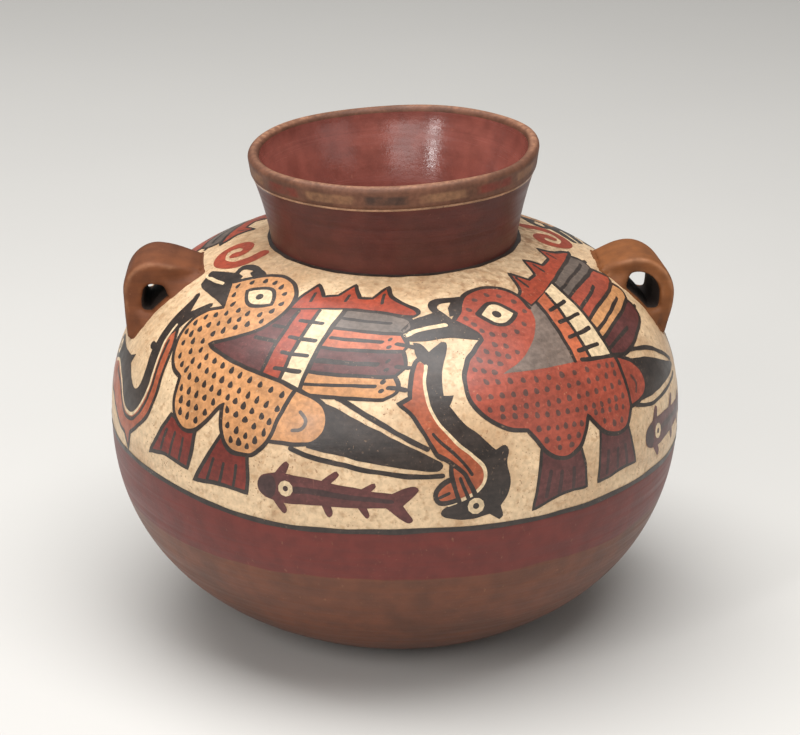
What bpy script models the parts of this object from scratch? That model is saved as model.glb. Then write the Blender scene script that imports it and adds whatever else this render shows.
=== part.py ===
"""Round-bodied fired clay jar with a flaring neck and two strap handles on its shoulder.

The jar is made as a potter builds it: a pressed bowl, a shoulder wall, a neck, a lip coil and two
strap handles, each a separate piece, set on its neighbour along a bevelled, luted seam.
Units are metres, +Z is up, and the origin is the middle of the flat spot that the jar stands on.
The handles lie on the X axis.
"""

import math

import bmesh
import bpy

# Body: a fat round belly, with a deeper curve below it and a flatter one above
BELLY_RADIUS = 0.125
BELLY_HEIGHT = 0.094
BASE_CUT = 0.006  # how much of the bowl's round end the flat spot cuts off
BOWL_FULLNESS = 2.15
SHOULDER_RISE = 0.084
SHOULDER_FULLNESS = 2.4
WALL = 0.0055
FLOOR = 0.0070
INSIDE_FULLNESS = 2.4

# Neck: a short flare that stands in the shoulder's opening
NECK_ROOT_RADIUS = 0.0555
NECK_WALL = 0.0055
NECK_HEIGHT = 0.0320
NECK_FLARE = 0.0055
NECK_HOLLOW = 0.0008

# Lip: the last coil, a nearly upright band with a rounded top
LIP_HEIGHT = 0.0095
LIP_WALL = 0.0048
LIP_FLARE = 0.0016
RIM_LEAN = 0.038

# Handles: flat straps that leave the shoulder near the neck, turn down and land on the wall below.
# Their places are given from the body's own sizes, so that they follow it when it grows.
STRAP_WIDTH = 0.0270
STRAP_THICKNESS = 0.0080
STRAP_ROUNDNESS = 3.0
STRAP_TOP_DROP = 0.0110  # from the closed top of the shoulder's curve
STRAP_CORNER = 0.0155
STRAP_NECK_DISTANCE = 0.0305
STRAP_ROOT_DROP = 0.0030
STRAP_FOOT_RISE = 0.0330  # from the belly
STRAP_FOOT_TUCK = 0.0020
STRAP_FOOT_SCALE = 1.22
LEFT_HANDLE_INSET = 0.0070  # from the widest ring of the belly
RIGHT_HANDLE_INSET = 0.0040

# Seams: each joint is a bevelled face with a thin bed of slip between the pieces
SEAM_BEVEL = 0.0040
SEAM_GAP = 0.0003

# Facets
TURN_STEPS = 64
CURVE_STEPS = 11
NECK_STEPS = 5
LIP_STEPS = 6
STRAP_SIDES = 16
STRAP_RESOLUTION = 4
MERGE = 0.00001
SHARP_ANGLE = math.radians(40.0)

# Fired colours, linear RGB
BARE_CLAY = (0.150, 0.058, 0.028, 1.0)
CREAM_SLIP = (0.560, 0.420, 0.260, 1.0)
DARK_RED_SLIP = (0.090, 0.026, 0.022, 1.0)
LIP_CLAY = (0.170, 0.080, 0.045, 1.0)
HANDLE_CLAY = (0.250, 0.088, 0.040, 1.0)

# Burnish: the roughness of each finish
CLAY_ROUGHNESS = 0.45
CREAM_ROUGHNESS = 0.42
NECK_ROUGHNESS = 0.40
HANDLE_ROUGHNESS = 0.48


def start_clean():
    """Removes the startup scene's objects and returns the jar's collection and the cutters' collection."""
    for obj in list(bpy.data.objects):
        bpy.data.objects.remove(obj)
    made = []
    for name in ("handled_jar", "cutters"):
        collection = bpy.data.collections.new(name)
        bpy.context.scene.collection.children.link(collection)
        made.append(collection)
    return made


def clay(name, colour, roughness):
    """A fired clay or slip finish."""
    material = bpy.data.materials.new(name)
    material.use_nodes = True
    shader = material.node_tree.nodes["Principled BSDF"]
    shader.inputs["Base Color"].default_value = colour
    shader.inputs["Roughness"].default_value = roughness
    shader.inputs["Metallic"].default_value = 0.0
    return material


def arc_point(radius, rise, fullness, angle):
    """A point (r, z) of a squared-off quarter ellipse, at angle 0 on its widest ring and at 90 degrees on the axis."""
    power = 2.0 / fullness
    return radius * math.cos(angle) ** power, rise * math.sin(angle) ** power


def angle_at_radius(radius, fullness, r):
    """The angle at which arc_point has the radius r."""
    return math.acos((r / radius) ** (fullness / 2.0))


def angle_at_rise(rise, fullness, z):
    """The angle at which arc_point has the rise z."""
    return math.asin((z / rise) ** (fullness / 2.0))


def between(first, last, steps):
    """Evenly spaced values from first to last, both included."""
    return [first + (last - first) * i / steps for i in range(steps + 1)]


def bowl_outside(grow=0.0):
    """The bowl's outer wall, from the belly down to the edge of the flat spot."""
    radius, depth = BELLY_RADIUS + grow, BELLY_HEIGHT + BASE_CUT + grow
    last = angle_at_rise(depth, BOWL_FULLNESS, BELLY_HEIGHT + grow)
    points = [arc_point(radius, depth, BOWL_FULLNESS, a) for a in between(0.0, last, CURVE_STEPS)]
    return [(r, BELLY_HEIGHT - z) for r, z in points]


def bowl_inside():
    """The bowl's inner wall, from the middle of the floor up to the belly."""
    radius, depth = BELLY_RADIUS - WALL, BELLY_HEIGHT - FLOOR
    angles = between(math.pi / 2.0, 0.0, CURVE_STEPS)
    points = [arc_point(radius, depth, INSIDE_FULLNESS, a) for a in angles[1:]]
    return [(0.0, FLOOR)] + [(r, BELLY_HEIGHT - z) for r, z in points]


def shoulder_height(r, grow=0.0):
    """The height of the shoulder's outer face, grown along its normal, at the radius r."""
    radius, rise = BELLY_RADIUS + grow, SHOULDER_RISE + grow
    angle = angle_at_radius(radius, SHOULDER_FULLNESS, r)
    return BELLY_HEIGHT + arc_point(radius, rise, SHOULDER_FULLNESS, angle)[1]


def shoulder_curve(grow, first_radius, last_radius):
    """Points of the shoulder's face, grown along its normal, from one radius to another."""
    radius, rise = BELLY_RADIUS + grow, SHOULDER_RISE + grow
    first = angle_at_radius(radius, SHOULDER_FULLNESS, min(first_radius, radius))
    last = angle_at_radius(radius, SHOULDER_FULLNESS, min(last_radius, radius))
    points = [arc_point(radius, rise, SHOULDER_FULLNESS, a) for a in between(first, last, CURVE_STEPS)]
    return [(r, BELLY_HEIGHT + z) for r, z in points]


def seam_lift(run, rise):
    """How far up a sloping seam face moves for a bed of SEAM_GAP, measured square to the face."""
    return SEAM_GAP * math.hypot(run, rise) / abs(run)


def turned(name, outline, collection, steps=TURN_STEPS, closed=True):
    """A ring or a bowl turned about Z from an outline of (r, z) points that runs down its outer side."""
    mesh = bpy.data.meshes.new(name)
    edges = [(i, i + 1) for i in range(len(outline) - 1)]
    if closed:
        edges.append((len(outline) - 1, 0))
    mesh.from_pydata([(r, 0.0, z) for r, z in outline], edges, [])
    obj = bpy.data.objects.new(name, mesh)
    collection.objects.link(obj)
    screw = obj.modifiers.new("turn", "SCREW")
    screw.axis = "Z"
    screw.steps = steps
    screw.render_steps = steps
    screw.use_merge_vertices = True
    screw.merge_threshold = MERGE
    screw.use_smooth_shade = True
    return obj


def solid_of(obj, collection):
    """A mesh object with what obj evaluates to, welded, in the place of obj, which is removed."""
    bpy.context.view_layer.update()
    evaluated = obj.evaluated_get(bpy.context.evaluated_depsgraph_get())
    mesh = bpy.data.meshes.new_from_object(evaluated)
    work = bmesh.new()
    work.from_mesh(mesh)
    bmesh.ops.remove_doubles(work, verts=work.verts, dist=MERGE)
    bmesh.ops.recalc_face_normals(work, faces=work.faces)
    work.to_mesh(mesh)
    work.free()
    name, place = obj.name, obj.matrix_world.copy()
    bpy.data.objects.remove(obj)
    made = bpy.data.objects.new(name, mesh)
    made.matrix_world = place
    collection.objects.link(made)
    return made


def lean(obj):
    """Tips the mouth: each level above the neck's root rises towards +X, in proportion to its height."""
    root = shoulder_height(NECK_ROOT_RADIUS)
    full = NECK_HEIGHT + LIP_HEIGHT
    for vertex in obj.data.vertices:
        share = max(0.0, (vertex.co.z - root) / full)
        vertex.co.z += RIM_LEAN * share * vertex.co.x
    return obj


def shade(obj, material):
    """Gives the piece its finish, smooth over its curves and sharp at its seams."""
    obj.data.materials.clear()
    obj.data.materials.append(material)
    obj.data.shade_smooth()
    obj.data.set_sharp_from_angle(angle=SHARP_ANGLE)
    return obj


def base_bowl(jar):
    """The pressed lower half, with a flat spot underneath and a bevelled top edge, higher on the inside."""
    top_inside = BELLY_RADIUS - WALL
    outline = bowl_inside() + [(top_inside, BELLY_HEIGHT + SEAM_BEVEL)] + bowl_outside() + [(0.0, 0.0)]
    obj = turned("base_bowl", outline, jar, closed=False)
    return shade(obj, clay("bare_clay", BARE_CLAY, CLAY_ROUGHNESS))


def neck_seat():
    """The outer and inner ends of the bevelled seat that the shoulder offers to the neck."""
    inner = NECK_ROOT_RADIUS - NECK_WALL
    return (
        (NECK_ROOT_RADIUS, shoulder_height(NECK_ROOT_RADIUS)),
        (inner, shoulder_height(inner, -WALL)),
    )


def shoulder(jar):
    """The upper wall, from the bevelled seam at the belly to the neck's seat."""
    lift = seam_lift(WALL, SEAM_BEVEL)
    outer_seat, inner_seat = neck_seat()
    outside = shoulder_curve(0.0, NECK_ROOT_RADIUS, BELLY_RADIUS)
    outside[-1] = (BELLY_RADIUS, BELLY_HEIGHT + lift)
    inside = shoulder_curve(-WALL, BELLY_RADIUS - WALL, inner_seat[0])
    inside[0] = (BELLY_RADIUS - WALL, BELLY_HEIGHT + SEAM_BEVEL + lift)
    obj = turned("shoulder", outside + inside, jar)
    return shade(obj, clay("cream_slip", CREAM_SLIP, CREAM_ROUGHNESS))


def neck_outside(share):
    """A point of the neck's outer face, from its root at share 0 to the lip at share 1, slightly hollow."""
    bow = NECK_HOLLOW * 4.0 * share * (1.0 - share)
    return (
        NECK_ROOT_RADIUS + NECK_FLARE * share - bow,
        shoulder_height(NECK_ROOT_RADIUS) + NECK_HEIGHT * share,
    )


def lip_seat():
    """The outer and inner ends of the bevelled seat that the neck offers to the lip."""
    r, z = neck_outside(1.0)
    return (r, z), (r - LIP_WALL, z + SEAM_BEVEL)


def neck(jar):
    """The flaring collar, wedged into the shoulder's seat and bevelled at the top for the lip."""
    outer_seat, inner_seat = neck_seat()
    lift = seam_lift(NECK_WALL, outer_seat[1] - inner_seat[1])
    lip_outer, lip_inner = lip_seat()
    outside = [neck_outside(s) for s in between(1.0, 0.0, NECK_STEPS)]
    outside[-1] = (outer_seat[0], outer_seat[1] + lift)
    inside_foot = (inner_seat[0], inner_seat[1] + lift)
    inside = []
    for s in between(0.0, 1.0, NECK_STEPS):
        r, z = neck_outside(s)
        wall = NECK_WALL + (LIP_WALL - NECK_WALL) * s
        inside.append((r - wall, z))
    inside[0] = inside_foot
    inside[-1] = lip_inner
    obj = solid_of(turned("neck", outside + inside, jar), jar)
    return shade(lean(obj), clay("dark_red_slip", DARK_RED_SLIP, NECK_ROUGHNESS))


def lip(jar):
    """The rim coil: a band with a half-round top, bedded on the neck's bevel."""
    lift = seam_lift(LIP_WALL, SEAM_BEVEL)
    (outer_r, outer_z), (inner_r, inner_z) = lip_seat()
    round_radius = LIP_WALL / 2.0
    top = outer_z + LIP_HEIGHT - round_radius
    middle = outer_r + LIP_FLARE - round_radius
    crown = []
    for a in between(math.pi, 0.0, LIP_STEPS):
        crown.append((middle + round_radius * math.cos(a), top + round_radius * math.sin(a)))
    outline = [(inner_r, inner_z + lift)] + crown + [(outer_r, outer_z + lift)]
    obj = solid_of(turned("lip", outline, jar), jar)
    return shade(lean(obj), clay("lip_clay", LIP_CLAY, CLAY_ROUGHNESS))


def body_block(cutters):
    """A filled block of the body's outer shape, larger by the seam's gap, that trims the handles' feet."""
    over = shoulder_curve(SEAM_GAP, NECK_ROOT_RADIUS, BELLY_RADIUS + SEAM_GAP)
    under = bowl_outside(SEAM_GAP)
    outline = [(0.0, over[0][1])] + over + under[1:] + [(0.0, under[-1][1])]
    obj = turned("body_block", outline, cutters, closed=False)
    obj.hide_render = True
    obj.display_type = "WIRE"
    return obj


def strap_section(cutters):
    """The strap's cross section: flat, with soft edges."""
    half_width, half_thickness = STRAP_WIDTH / 2.0, STRAP_THICKNESS / 2.0
    power = 2.0 / STRAP_ROUNDNESS
    curve = bpy.data.curves.new("strap_section", "CURVE")
    spline = curve.splines.new("POLY")
    spline.points.add(STRAP_SIDES - 1)
    for i, point in enumerate(spline.points):
        a = 2.0 * math.pi * (i + 0.5) / STRAP_SIDES
        x = math.copysign(abs(math.cos(a)) ** power, math.cos(a)) * half_width
        y = math.copysign(abs(math.sin(a)) ** power, math.sin(a)) * half_thickness
        point.co = (x, y, 0.0, 1.0)
    spline.use_cyclic_u = True
    obj = bpy.data.objects.new("strap_section", curve)
    cutters.objects.link(obj)
    obj.hide_render = True
    obj.display_type = "WIRE"
    return obj


def strap_route(reach):
    """The strap's middle line as (r, z, size): out of the shoulder, round the corner and down to its foot."""
    middle = reach - STRAP_THICKNESS / 2.0
    top = BELLY_HEIGHT + SHOULDER_RISE - STRAP_TOP_DROP - STRAP_THICKNESS / 2.0
    root = NECK_ROOT_RADIUS + STRAP_NECK_DISTANCE - WALL
    foot = BELLY_HEIGHT + STRAP_FOOT_RISE - WALL
    bend = STRAP_CORNER * (1.0 - math.sqrt(0.5))
    return (
        (root, top - STRAP_ROOT_DROP, STRAP_FOOT_SCALE),
        (middle - STRAP_CORNER, top, 1.0),
        (middle - bend, top - bend, 1.0),
        (middle, top - STRAP_CORNER, 1.0),
        (middle - STRAP_FOOT_TUCK, foot, STRAP_FOOT_SCALE),
    )


def handle(name, side, reach, section, block, jar):
    """A strap handle in the XZ plane, on the side of +X or -X, with both feet trimmed to the wall."""
    curve = bpy.data.curves.new(name, "CURVE")
    curve.dimensions = "3D"
    curve.twist_mode = "MINIMUM"
    curve.bevel_mode = "OBJECT"
    curve.bevel_object = section
    curve.use_fill_caps = True
    curve.resolution_u = STRAP_RESOLUTION
    route = strap_route(reach)
    spline = curve.splines.new("BEZIER")
    spline.bezier_points.add(len(route) - 1)
    for point, (r, z, size) in zip(spline.bezier_points, route):
        point.co = (r, 0.0, z)
        point.radius = size
        point.handle_left_type = "AUTO"
        point.handle_right_type = "AUTO"
    strap = bpy.data.objects.new(name, curve)
    jar.objects.link(strap)
    obj = solid_of(strap, jar)
    if side < 0:
        obj.rotation_euler = (0.0, 0.0, math.pi)
    trim = obj.modifiers.new("trim_feet", "BOOLEAN")
    trim.operation = "DIFFERENCE"
    trim.object = block
    return shade(obj, clay(name + "_clay", HANDLE_CLAY, HANDLE_ROUGHNESS))


def main():
    """Builds the jar from its base upwards."""
    jar, cutters = start_clean()
    base_bowl(jar)
    shoulder(jar)
    neck(jar)
    lip(jar)
    block = body_block(cutters)
    section = strap_section(cutters)
    handle("handle_left", -1, BELLY_RADIUS - LEFT_HANDLE_INSET, section, block, jar)
    handle("handle_right", 1, BELLY_RADIUS - RIGHT_HANDLE_INSET, section, block, jar)


main()
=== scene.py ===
"""Dresses the handled jar: burnished clay, cream slip and a painted frieze of birds and fish.

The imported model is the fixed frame. Every piece here rides on its one body and stands for its nodes.
Sizes of the jar are in metres. Outlines of the painting are in millimetres on the unrolled wall: the
first number runs to the right round the jar from the figure's middle, the second runs up the wall
from the black border line.
"""

import logging
import math
from abc import ABC, abstractmethod
from dataclasses import dataclass, field
from enum import Enum
from typing import Callable, NamedTuple, Sequence

import bpy
import numpy as np
from mathutils import Matrix, Vector, geometry, noise

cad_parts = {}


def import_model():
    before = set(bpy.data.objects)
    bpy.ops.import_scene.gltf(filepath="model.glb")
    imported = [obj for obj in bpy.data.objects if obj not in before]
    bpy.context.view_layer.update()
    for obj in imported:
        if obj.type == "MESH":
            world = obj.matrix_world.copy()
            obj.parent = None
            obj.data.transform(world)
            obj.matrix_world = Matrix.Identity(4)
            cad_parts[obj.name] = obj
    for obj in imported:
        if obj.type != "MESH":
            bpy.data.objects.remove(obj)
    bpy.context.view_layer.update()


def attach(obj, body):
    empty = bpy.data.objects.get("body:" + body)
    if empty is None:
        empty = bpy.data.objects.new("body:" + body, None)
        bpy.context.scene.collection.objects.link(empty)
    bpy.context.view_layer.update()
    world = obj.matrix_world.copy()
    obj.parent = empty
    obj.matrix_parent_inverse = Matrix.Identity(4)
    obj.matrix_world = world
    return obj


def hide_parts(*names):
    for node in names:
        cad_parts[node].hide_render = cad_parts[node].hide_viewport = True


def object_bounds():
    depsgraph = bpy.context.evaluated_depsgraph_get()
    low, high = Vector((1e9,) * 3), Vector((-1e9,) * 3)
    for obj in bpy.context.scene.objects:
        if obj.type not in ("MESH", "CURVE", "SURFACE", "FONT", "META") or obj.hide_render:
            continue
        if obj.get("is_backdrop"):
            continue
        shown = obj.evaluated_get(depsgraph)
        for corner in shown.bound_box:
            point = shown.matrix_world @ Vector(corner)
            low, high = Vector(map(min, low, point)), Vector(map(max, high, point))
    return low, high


log = logging.getLogger("handled_jar")

MM = 0.001
BODY = "root"
SHARP_ANGLE = math.radians(48.0)
VIEW_TURN = 4.0  # the photo looks at the jar from this many degrees left of straight on
EDGE_WEAR_AND_HIGHLIGHT = "edge_wear"  # how worn a handle's ridges are at each point, and where they carry a painted highlight
NOISE_LOW = 0.31  # most of a noise lies between these two
NOISE_HIGH = 0.69
HAND_SHAKE = 0.35  # millimetres by which the painter's hand strays
HAND_SEED = 3.0
BORDER_RISE = 5.5  # millimetres by which the border climbs towards the left handle
BORDER_WAVE = 0.9  # millimetres by which it wanders elsewhere
BACK_TURN = 177.0  # the frieze is painted twice, and the second time is turned by this many degrees


class Corner(NamedTuple):
    """A point of an outline where the brush turns sharply; plain pairs are passed smoothly."""

    u: float
    v: float


K = Corner
Outline = Sequence[tuple[float, float]]
Socket = bpy.types.NodeSocket
Value = Socket | float | tuple
Colour = tuple[int, int, int]
Place = tuple[float, float, float]
Material = bpy.types.Material
Mesh = bpy.types.Mesh
Piece = bpy.types.Object
Move = Callable[[np.ndarray, np.ndarray, np.ndarray], np.ndarray]


class Slip(Enum):
    """The coloured slips of the painting."""

    CREAM = "cream"
    OCHRE = "ochre"
    CREST_RED = "crest_red"
    BIRD_RED = "bird_red"
    ORANGE = "orange"
    CHARCOAL_WITH_SHEEN = "charcoal_with_sheen"
    MAROON = "maroon"
    FOOT_RED = "foot_red"
    BLACK = "black"
    GREY = "grey"
    SOFT_DARK = "soft_dark"
    DEEP_MAROON = "deep_maroon"
    FISH_RED = "fish_red"


class Side(Enum):
    """Which side of the jar a handle is on, as the direction along X."""

    LEFT = -1
    RIGHT = 1


def linear(colour: Colour) -> tuple[float, float, float, float]:
    """Turns a colour of 0 to 255 display values into linear light.

    Args:
        colour: Its red, green and blue.

    Returns:
        Linear red, green and blue, and an alpha of one.
    """
    parts = []
    for value in colour:
        share = value / 255.0
        parts.append(share / 12.92 if share <= 0.04045 else ((share + 0.055) / 1.055) ** 2.4)
    return parts[0], parts[1], parts[2], 1.0


class Sketch:
    """Builds one node material, with short methods for the nodes that the finishes share."""

    def __init__(self, name: str) -> None:
        """Starts an empty material.

        Args:
            name: Its name.
        """
        self.material = bpy.data.materials.new(name)
        self.material.use_nodes = True
        self.nodes = self.material.node_tree.nodes
        self.links = self.material.node_tree.links
        self.shader = self.nodes["Principled BSDF"]
        self.place = self.nodes.new("ShaderNodeTexCoord").outputs["Object"]

    def put(self, socket: Socket, value: Value) -> None:
        """Links a socket to another one, or sets its constant.

        Args:
            socket: The socket to fill.
            value: The socket to link it to, or the constant.
        """
        if isinstance(value, bpy.types.NodeSocket):
            self.links.new(value, socket)
        else:
            socket.default_value = value

    def stretched(self, across: float, up: float) -> Socket:
        """Scales the level and upright directions of the place on the jar apart, for streaks.

        Args:
            across: Scale of the level directions.
            up: Scale of the upright direction.

        Returns:
            The scaled place.
        """
        node = self.nodes.new("ShaderNodeMapping")
        self.put(node.inputs["Vector"], self.place)
        self.put(node.inputs["Scale"], (across, across, up))
        return node.outputs["Vector"]

    def grain(self, scale: float, detail: float = 4.0, vector: Socket | None = None,
              warp: float = 0.0) -> Socket:
        """Noise between 0 and 1.

        Args:
            scale: Waves per metre.
            detail: Number of finer octaves.
            vector: Where to read it; the place on the jar if left out.
            warp: How far the noise folds on itself.

        Returns:
            The noise value.
        """
        node = self.nodes.new("ShaderNodeTexNoise")
        self.put(node.inputs["Vector"], vector or self.place)
        self.put(node.inputs["Scale"], scale)
        self.put(node.inputs["Detail"], detail)
        self.put(node.inputs["Distortion"], warp)
        return node.outputs["Fac"]

    def specks(self, scale: float, size: float) -> Socket:
        """Draws round specks.

        Args:
            scale: Specks per metre.
            size: Radius of a speck, as a share of their distance.

        Returns:
            One in the middle of each speck and zero between them.
        """
        node = self.nodes.new("ShaderNodeTexVoronoi")
        self.put(node.inputs["Vector"], self.place)
        self.put(node.inputs["Scale"], scale)
        return self.band(node.outputs["Distance"], size, size * 0.4)

    def band(self, value: Value, low: float, high: float, to_low: float = 0.0,
             to_high: float = 1.0) -> Socket:
        """Draws a smooth step.

        Args:
            value: What is stepped.
            low: Where the step starts.
            high: Where the step ends; it may lie below low.
            to_low: The result at low.
            to_high: The result at high.

        Returns:
            The stepped value.
        """
        node = self.nodes.new("ShaderNodeMapRange")
        node.interpolation_type = "SMOOTHSTEP"
        flip = low > high
        self.put(node.inputs["Value"], value)
        self.put(node.inputs["From Min"], high if flip else low)
        self.put(node.inputs["From Max"], low if flip else high)
        self.put(node.inputs["To Min"], to_high if flip else to_low)
        self.put(node.inputs["To Max"], to_low if flip else to_high)
        return node.outputs["Result"]

    def calc(self, operation: str, first: Value, second: Value = 0.0) -> Socket:
        """Does one step of arithmetic.

        Args:
            operation: The name of the step.
            first: The first value.
            second: The second value.

        Returns:
            The result.
        """
        node = self.nodes.new("ShaderNodeMath")
        node.operation = operation
        self.put(node.inputs[0], first)
        self.put(node.inputs[1], second)
        return node.outputs["Value"]

    def mix(self, share: Value, first: Value, second: Value) -> Socket:
        """Mixes two colours.

        Args:
            share: The share of the second colour.
            first: The first colour.
            second: The second colour.

        Returns:
            The mixed colour.
        """
        node = self.nodes.new("ShaderNodeMix")
        node.data_type = "RGBA"
        self.put(node.inputs["Factor"], share)
        self.put(node.inputs["A"], first)
        self.put(node.inputs["B"], second)
        return next(out for out in node.outputs if out.type == "RGBA")

    def tone(self, colour: Value, share: Socket, dark: float, light: float) -> Socket:
        """Makes a colour darker and lighter by a noise.

        Args:
            colour: The colour.
            share: The noise.
            dark: The factor where the noise is low.
            light: The factor where the noise is high.

        Returns:
            The toned colour.
        """
        node = self.nodes.new("ShaderNodeHueSaturation")
        self.put(node.inputs["Color"], colour)
        self.put(node.inputs["Value"], self.band(share, NOISE_LOW, NOISE_HIGH, dark, light))
        return node.outputs["Color"]

    def stored(self, name: str) -> Socket:
        """Reads a value that the mesh carries at its points.

        Args:
            name: The value's name.

        Returns:
            The value.
        """
        node = self.nodes.new("ShaderNodeAttribute")
        node.attribute_name = name
        return node.outputs["Fac"]

    def parts(self) -> tuple[Socket, Socket, Socket]:
        """Takes the place on the jar apart.

        Returns:
            Its three coordinates.
        """
        node = self.nodes.new("ShaderNodeSeparateXYZ")
        self.put(node.inputs["Vector"], self.place)
        return node.outputs["X"], node.outputs["Y"], node.outputs["Z"]

    def bump(self, height: Socket, depth: float, strength: float = 1.0,
             under: Socket | None = None) -> Socket:
        """Raises a relief.

        Args:
            height: The height of the relief, from 0 to 1.
            depth: Its depth in metres.
            strength: How much of it shows.
            under: Another relief that it lies on.

        Returns:
            The bumped normal.
        """
        node = self.nodes.new("ShaderNodeBump")
        self.put(node.inputs["Height"], height)
        self.put(node.inputs["Distance"], depth)
        self.put(node.inputs["Strength"], strength)
        if under is not None:
            self.put(node.inputs["Normal"], under)
        return node.outputs["Normal"]

    def finish(self, colour: Socket, roughness: Value, relief: Socket,
               sheen: float = 0.50) -> Material:
        """Joins the parts to the surface shader.

        Args:
            colour: The surface colour.
            roughness: The surface roughness.
            relief: The bumped normal.
            sheen: The level of the surface's reflection.

        Returns:
            The finished material.
        """
        self.put(self.shader.inputs["Base Color"], colour)
        self.put(self.shader.inputs["Roughness"], roughness)
        self.put(self.shader.inputs["Normal"], relief)
        self.put(self.shader.inputs["Specular IOR Level"], sheen)
        return self.material


@dataclass(frozen=True)
class PaintFinish:
    """A painted slip: mottled where the brush carried more or less, worn in spots, softly burnished."""

    name: str
    colour: Colour
    worn: Colour = (206, 176, 136)
    wear: float = 0.30
    mottle: float = 0.16
    roughness: float = 0.36

    def material(self) -> Material:
        """Builds the node material.

        Returns:
            The material.
        """
        sketch = Sketch(self.name)
        base = linear(self.colour)
        broad = sketch.tone(base, sketch.grain(70.0, 5.0, warp=0.6), 1.0 - self.mottle, 1.0 + self.mottle)
        strokes = sketch.grain(1.0, 4.0, sketch.stretched(90.0, 620.0))
        brushed = sketch.tone(broad, strokes, 1.0 - self.mottle * 0.6, 1.0 + self.mottle * 0.6)
        grains = sketch.tone(brushed, sketch.grain(520.0, 7.0, warp=0.4), 0.80, 1.15)
        chips = sketch.band(sketch.grain(780.0, 3.0, warp=0.2), 0.64, 0.70)
        patchy = sketch.band(sketch.grain(45.0, 3.0), 0.36, 0.66, 0.12, 1.0)
        scratches = sketch.band(sketch.grain(1.0, 3.0, sketch.stretched(1400.0, 60.0)), 0.68, 0.76)
        worn = sketch.calc("MULTIPLY", sketch.calc("MAXIMUM", chips, scratches), patchy)
        share = sketch.calc("MULTIPLY", worn, self.wear)
        colour = sketch.mix(share, grains, linear(self.worn))
        polish = sketch.grain(160.0, 4.0)
        rough = sketch.band(polish, 0.2, 0.8, self.roughness - 0.07, self.roughness + 0.09)
        fine = sketch.bump(sketch.grain(1300.0, 4.0), 0.00008, 0.5)
        relief = sketch.bump(sketch.calc("SUBTRACT", strokes, worn), 0.00007, 0.5, fine)
        return sketch.finish(colour, rough, relief)


@dataclass(frozen=True)
class CreamFinish:
    """The burnished cream ground: specks of clay, stains, and the long marks of the polishing stone."""

    name: str = "cream_ground"
    colour: Colour = (221, 191, 153)
    stain: Colour = (160, 115, 72)
    speck: Colour = (140, 98, 66)
    speck_share: float = 0.90
    dirt_from: float = 0.1560
    roughness: float = 0.37

    def material(self) -> Material:
        """Builds the node material.

        Returns:
            The material.
        """
        sketch = Sketch(self.name)
        streaks = sketch.grain(1.0, 5.0, sketch.stretched(16.0, 330.0))
        base = sketch.tone(linear(self.colour), streaks, 0.93, 1.05)
        clouds = sketch.band(sketch.grain(24.0, 7.0, warp=0.9), 0.38, 0.68)
        stained = sketch.mix(sketch.calc("MULTIPLY", clouds, 0.48), base, linear(self.stain))
        small = sketch.band(sketch.grain(360.0, 8.0, warp=0.3), 0.50, 0.70)
        blotched = sketch.mix(sketch.calc("MULTIPLY", small, 0.45), stained, linear(self.stain))
        patches = sketch.band(sketch.grain(60.0, 3.0), 0.35, 0.65, 0.15, 1.0)
        dots = sketch.band(sketch.grain(800.0, 2.0), 0.64, 0.70)
        pits = sketch.specks(420.0, 0.16)
        marks = sketch.calc("MULTIPLY", sketch.calc("MAXIMUM", dots, pits), patches)
        share = sketch.calc("MULTIPLY", marks, self.speck_share)
        specked = sketch.mix(share, blotched, linear(self.speck))
        across, _, up = sketch.parts()
        near_neck = sketch.calc("MULTIPLY", sketch.band(up, self.dirt_from, self.dirt_from + 0.016),
                                sketch.band(across, -0.010, 0.045, 0.30, 1.0))
        crumbs = sketch.band(sketch.grain(300.0, 8.0, warp=0.4), 0.38, 0.62)
        crust = sketch.calc("MULTIPLY", near_neck, crumbs)
        uneven = sketch.band(sketch.grain(22.0, 2.0), 0.36, 0.62, 0.25, 0.80)
        colour = sketch.mix(sketch.calc("MULTIPLY", crust, uneven), specked, linear(self.speck))
        grained = sketch.tone(colour, sketch.grain(480.0, 7.0, warp=0.4), 0.86, 1.08)
        polish = sketch.grain(120.0, 5.0)
        rough = sketch.band(polish, 0.2, 0.8, self.roughness - 0.06, self.roughness + 0.10)
        fine = sketch.bump(sketch.grain(800.0, 5.0), 0.00009, 0.5)
        lines = sketch.bump(streaks, 0.00022, 0.5, fine)
        relief = sketch.bump(sketch.calc("SUBTRACT", 1.0, pits), 0.00012, 0.6, lines)
        return sketch.finish(grained, rough, relief)


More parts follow.
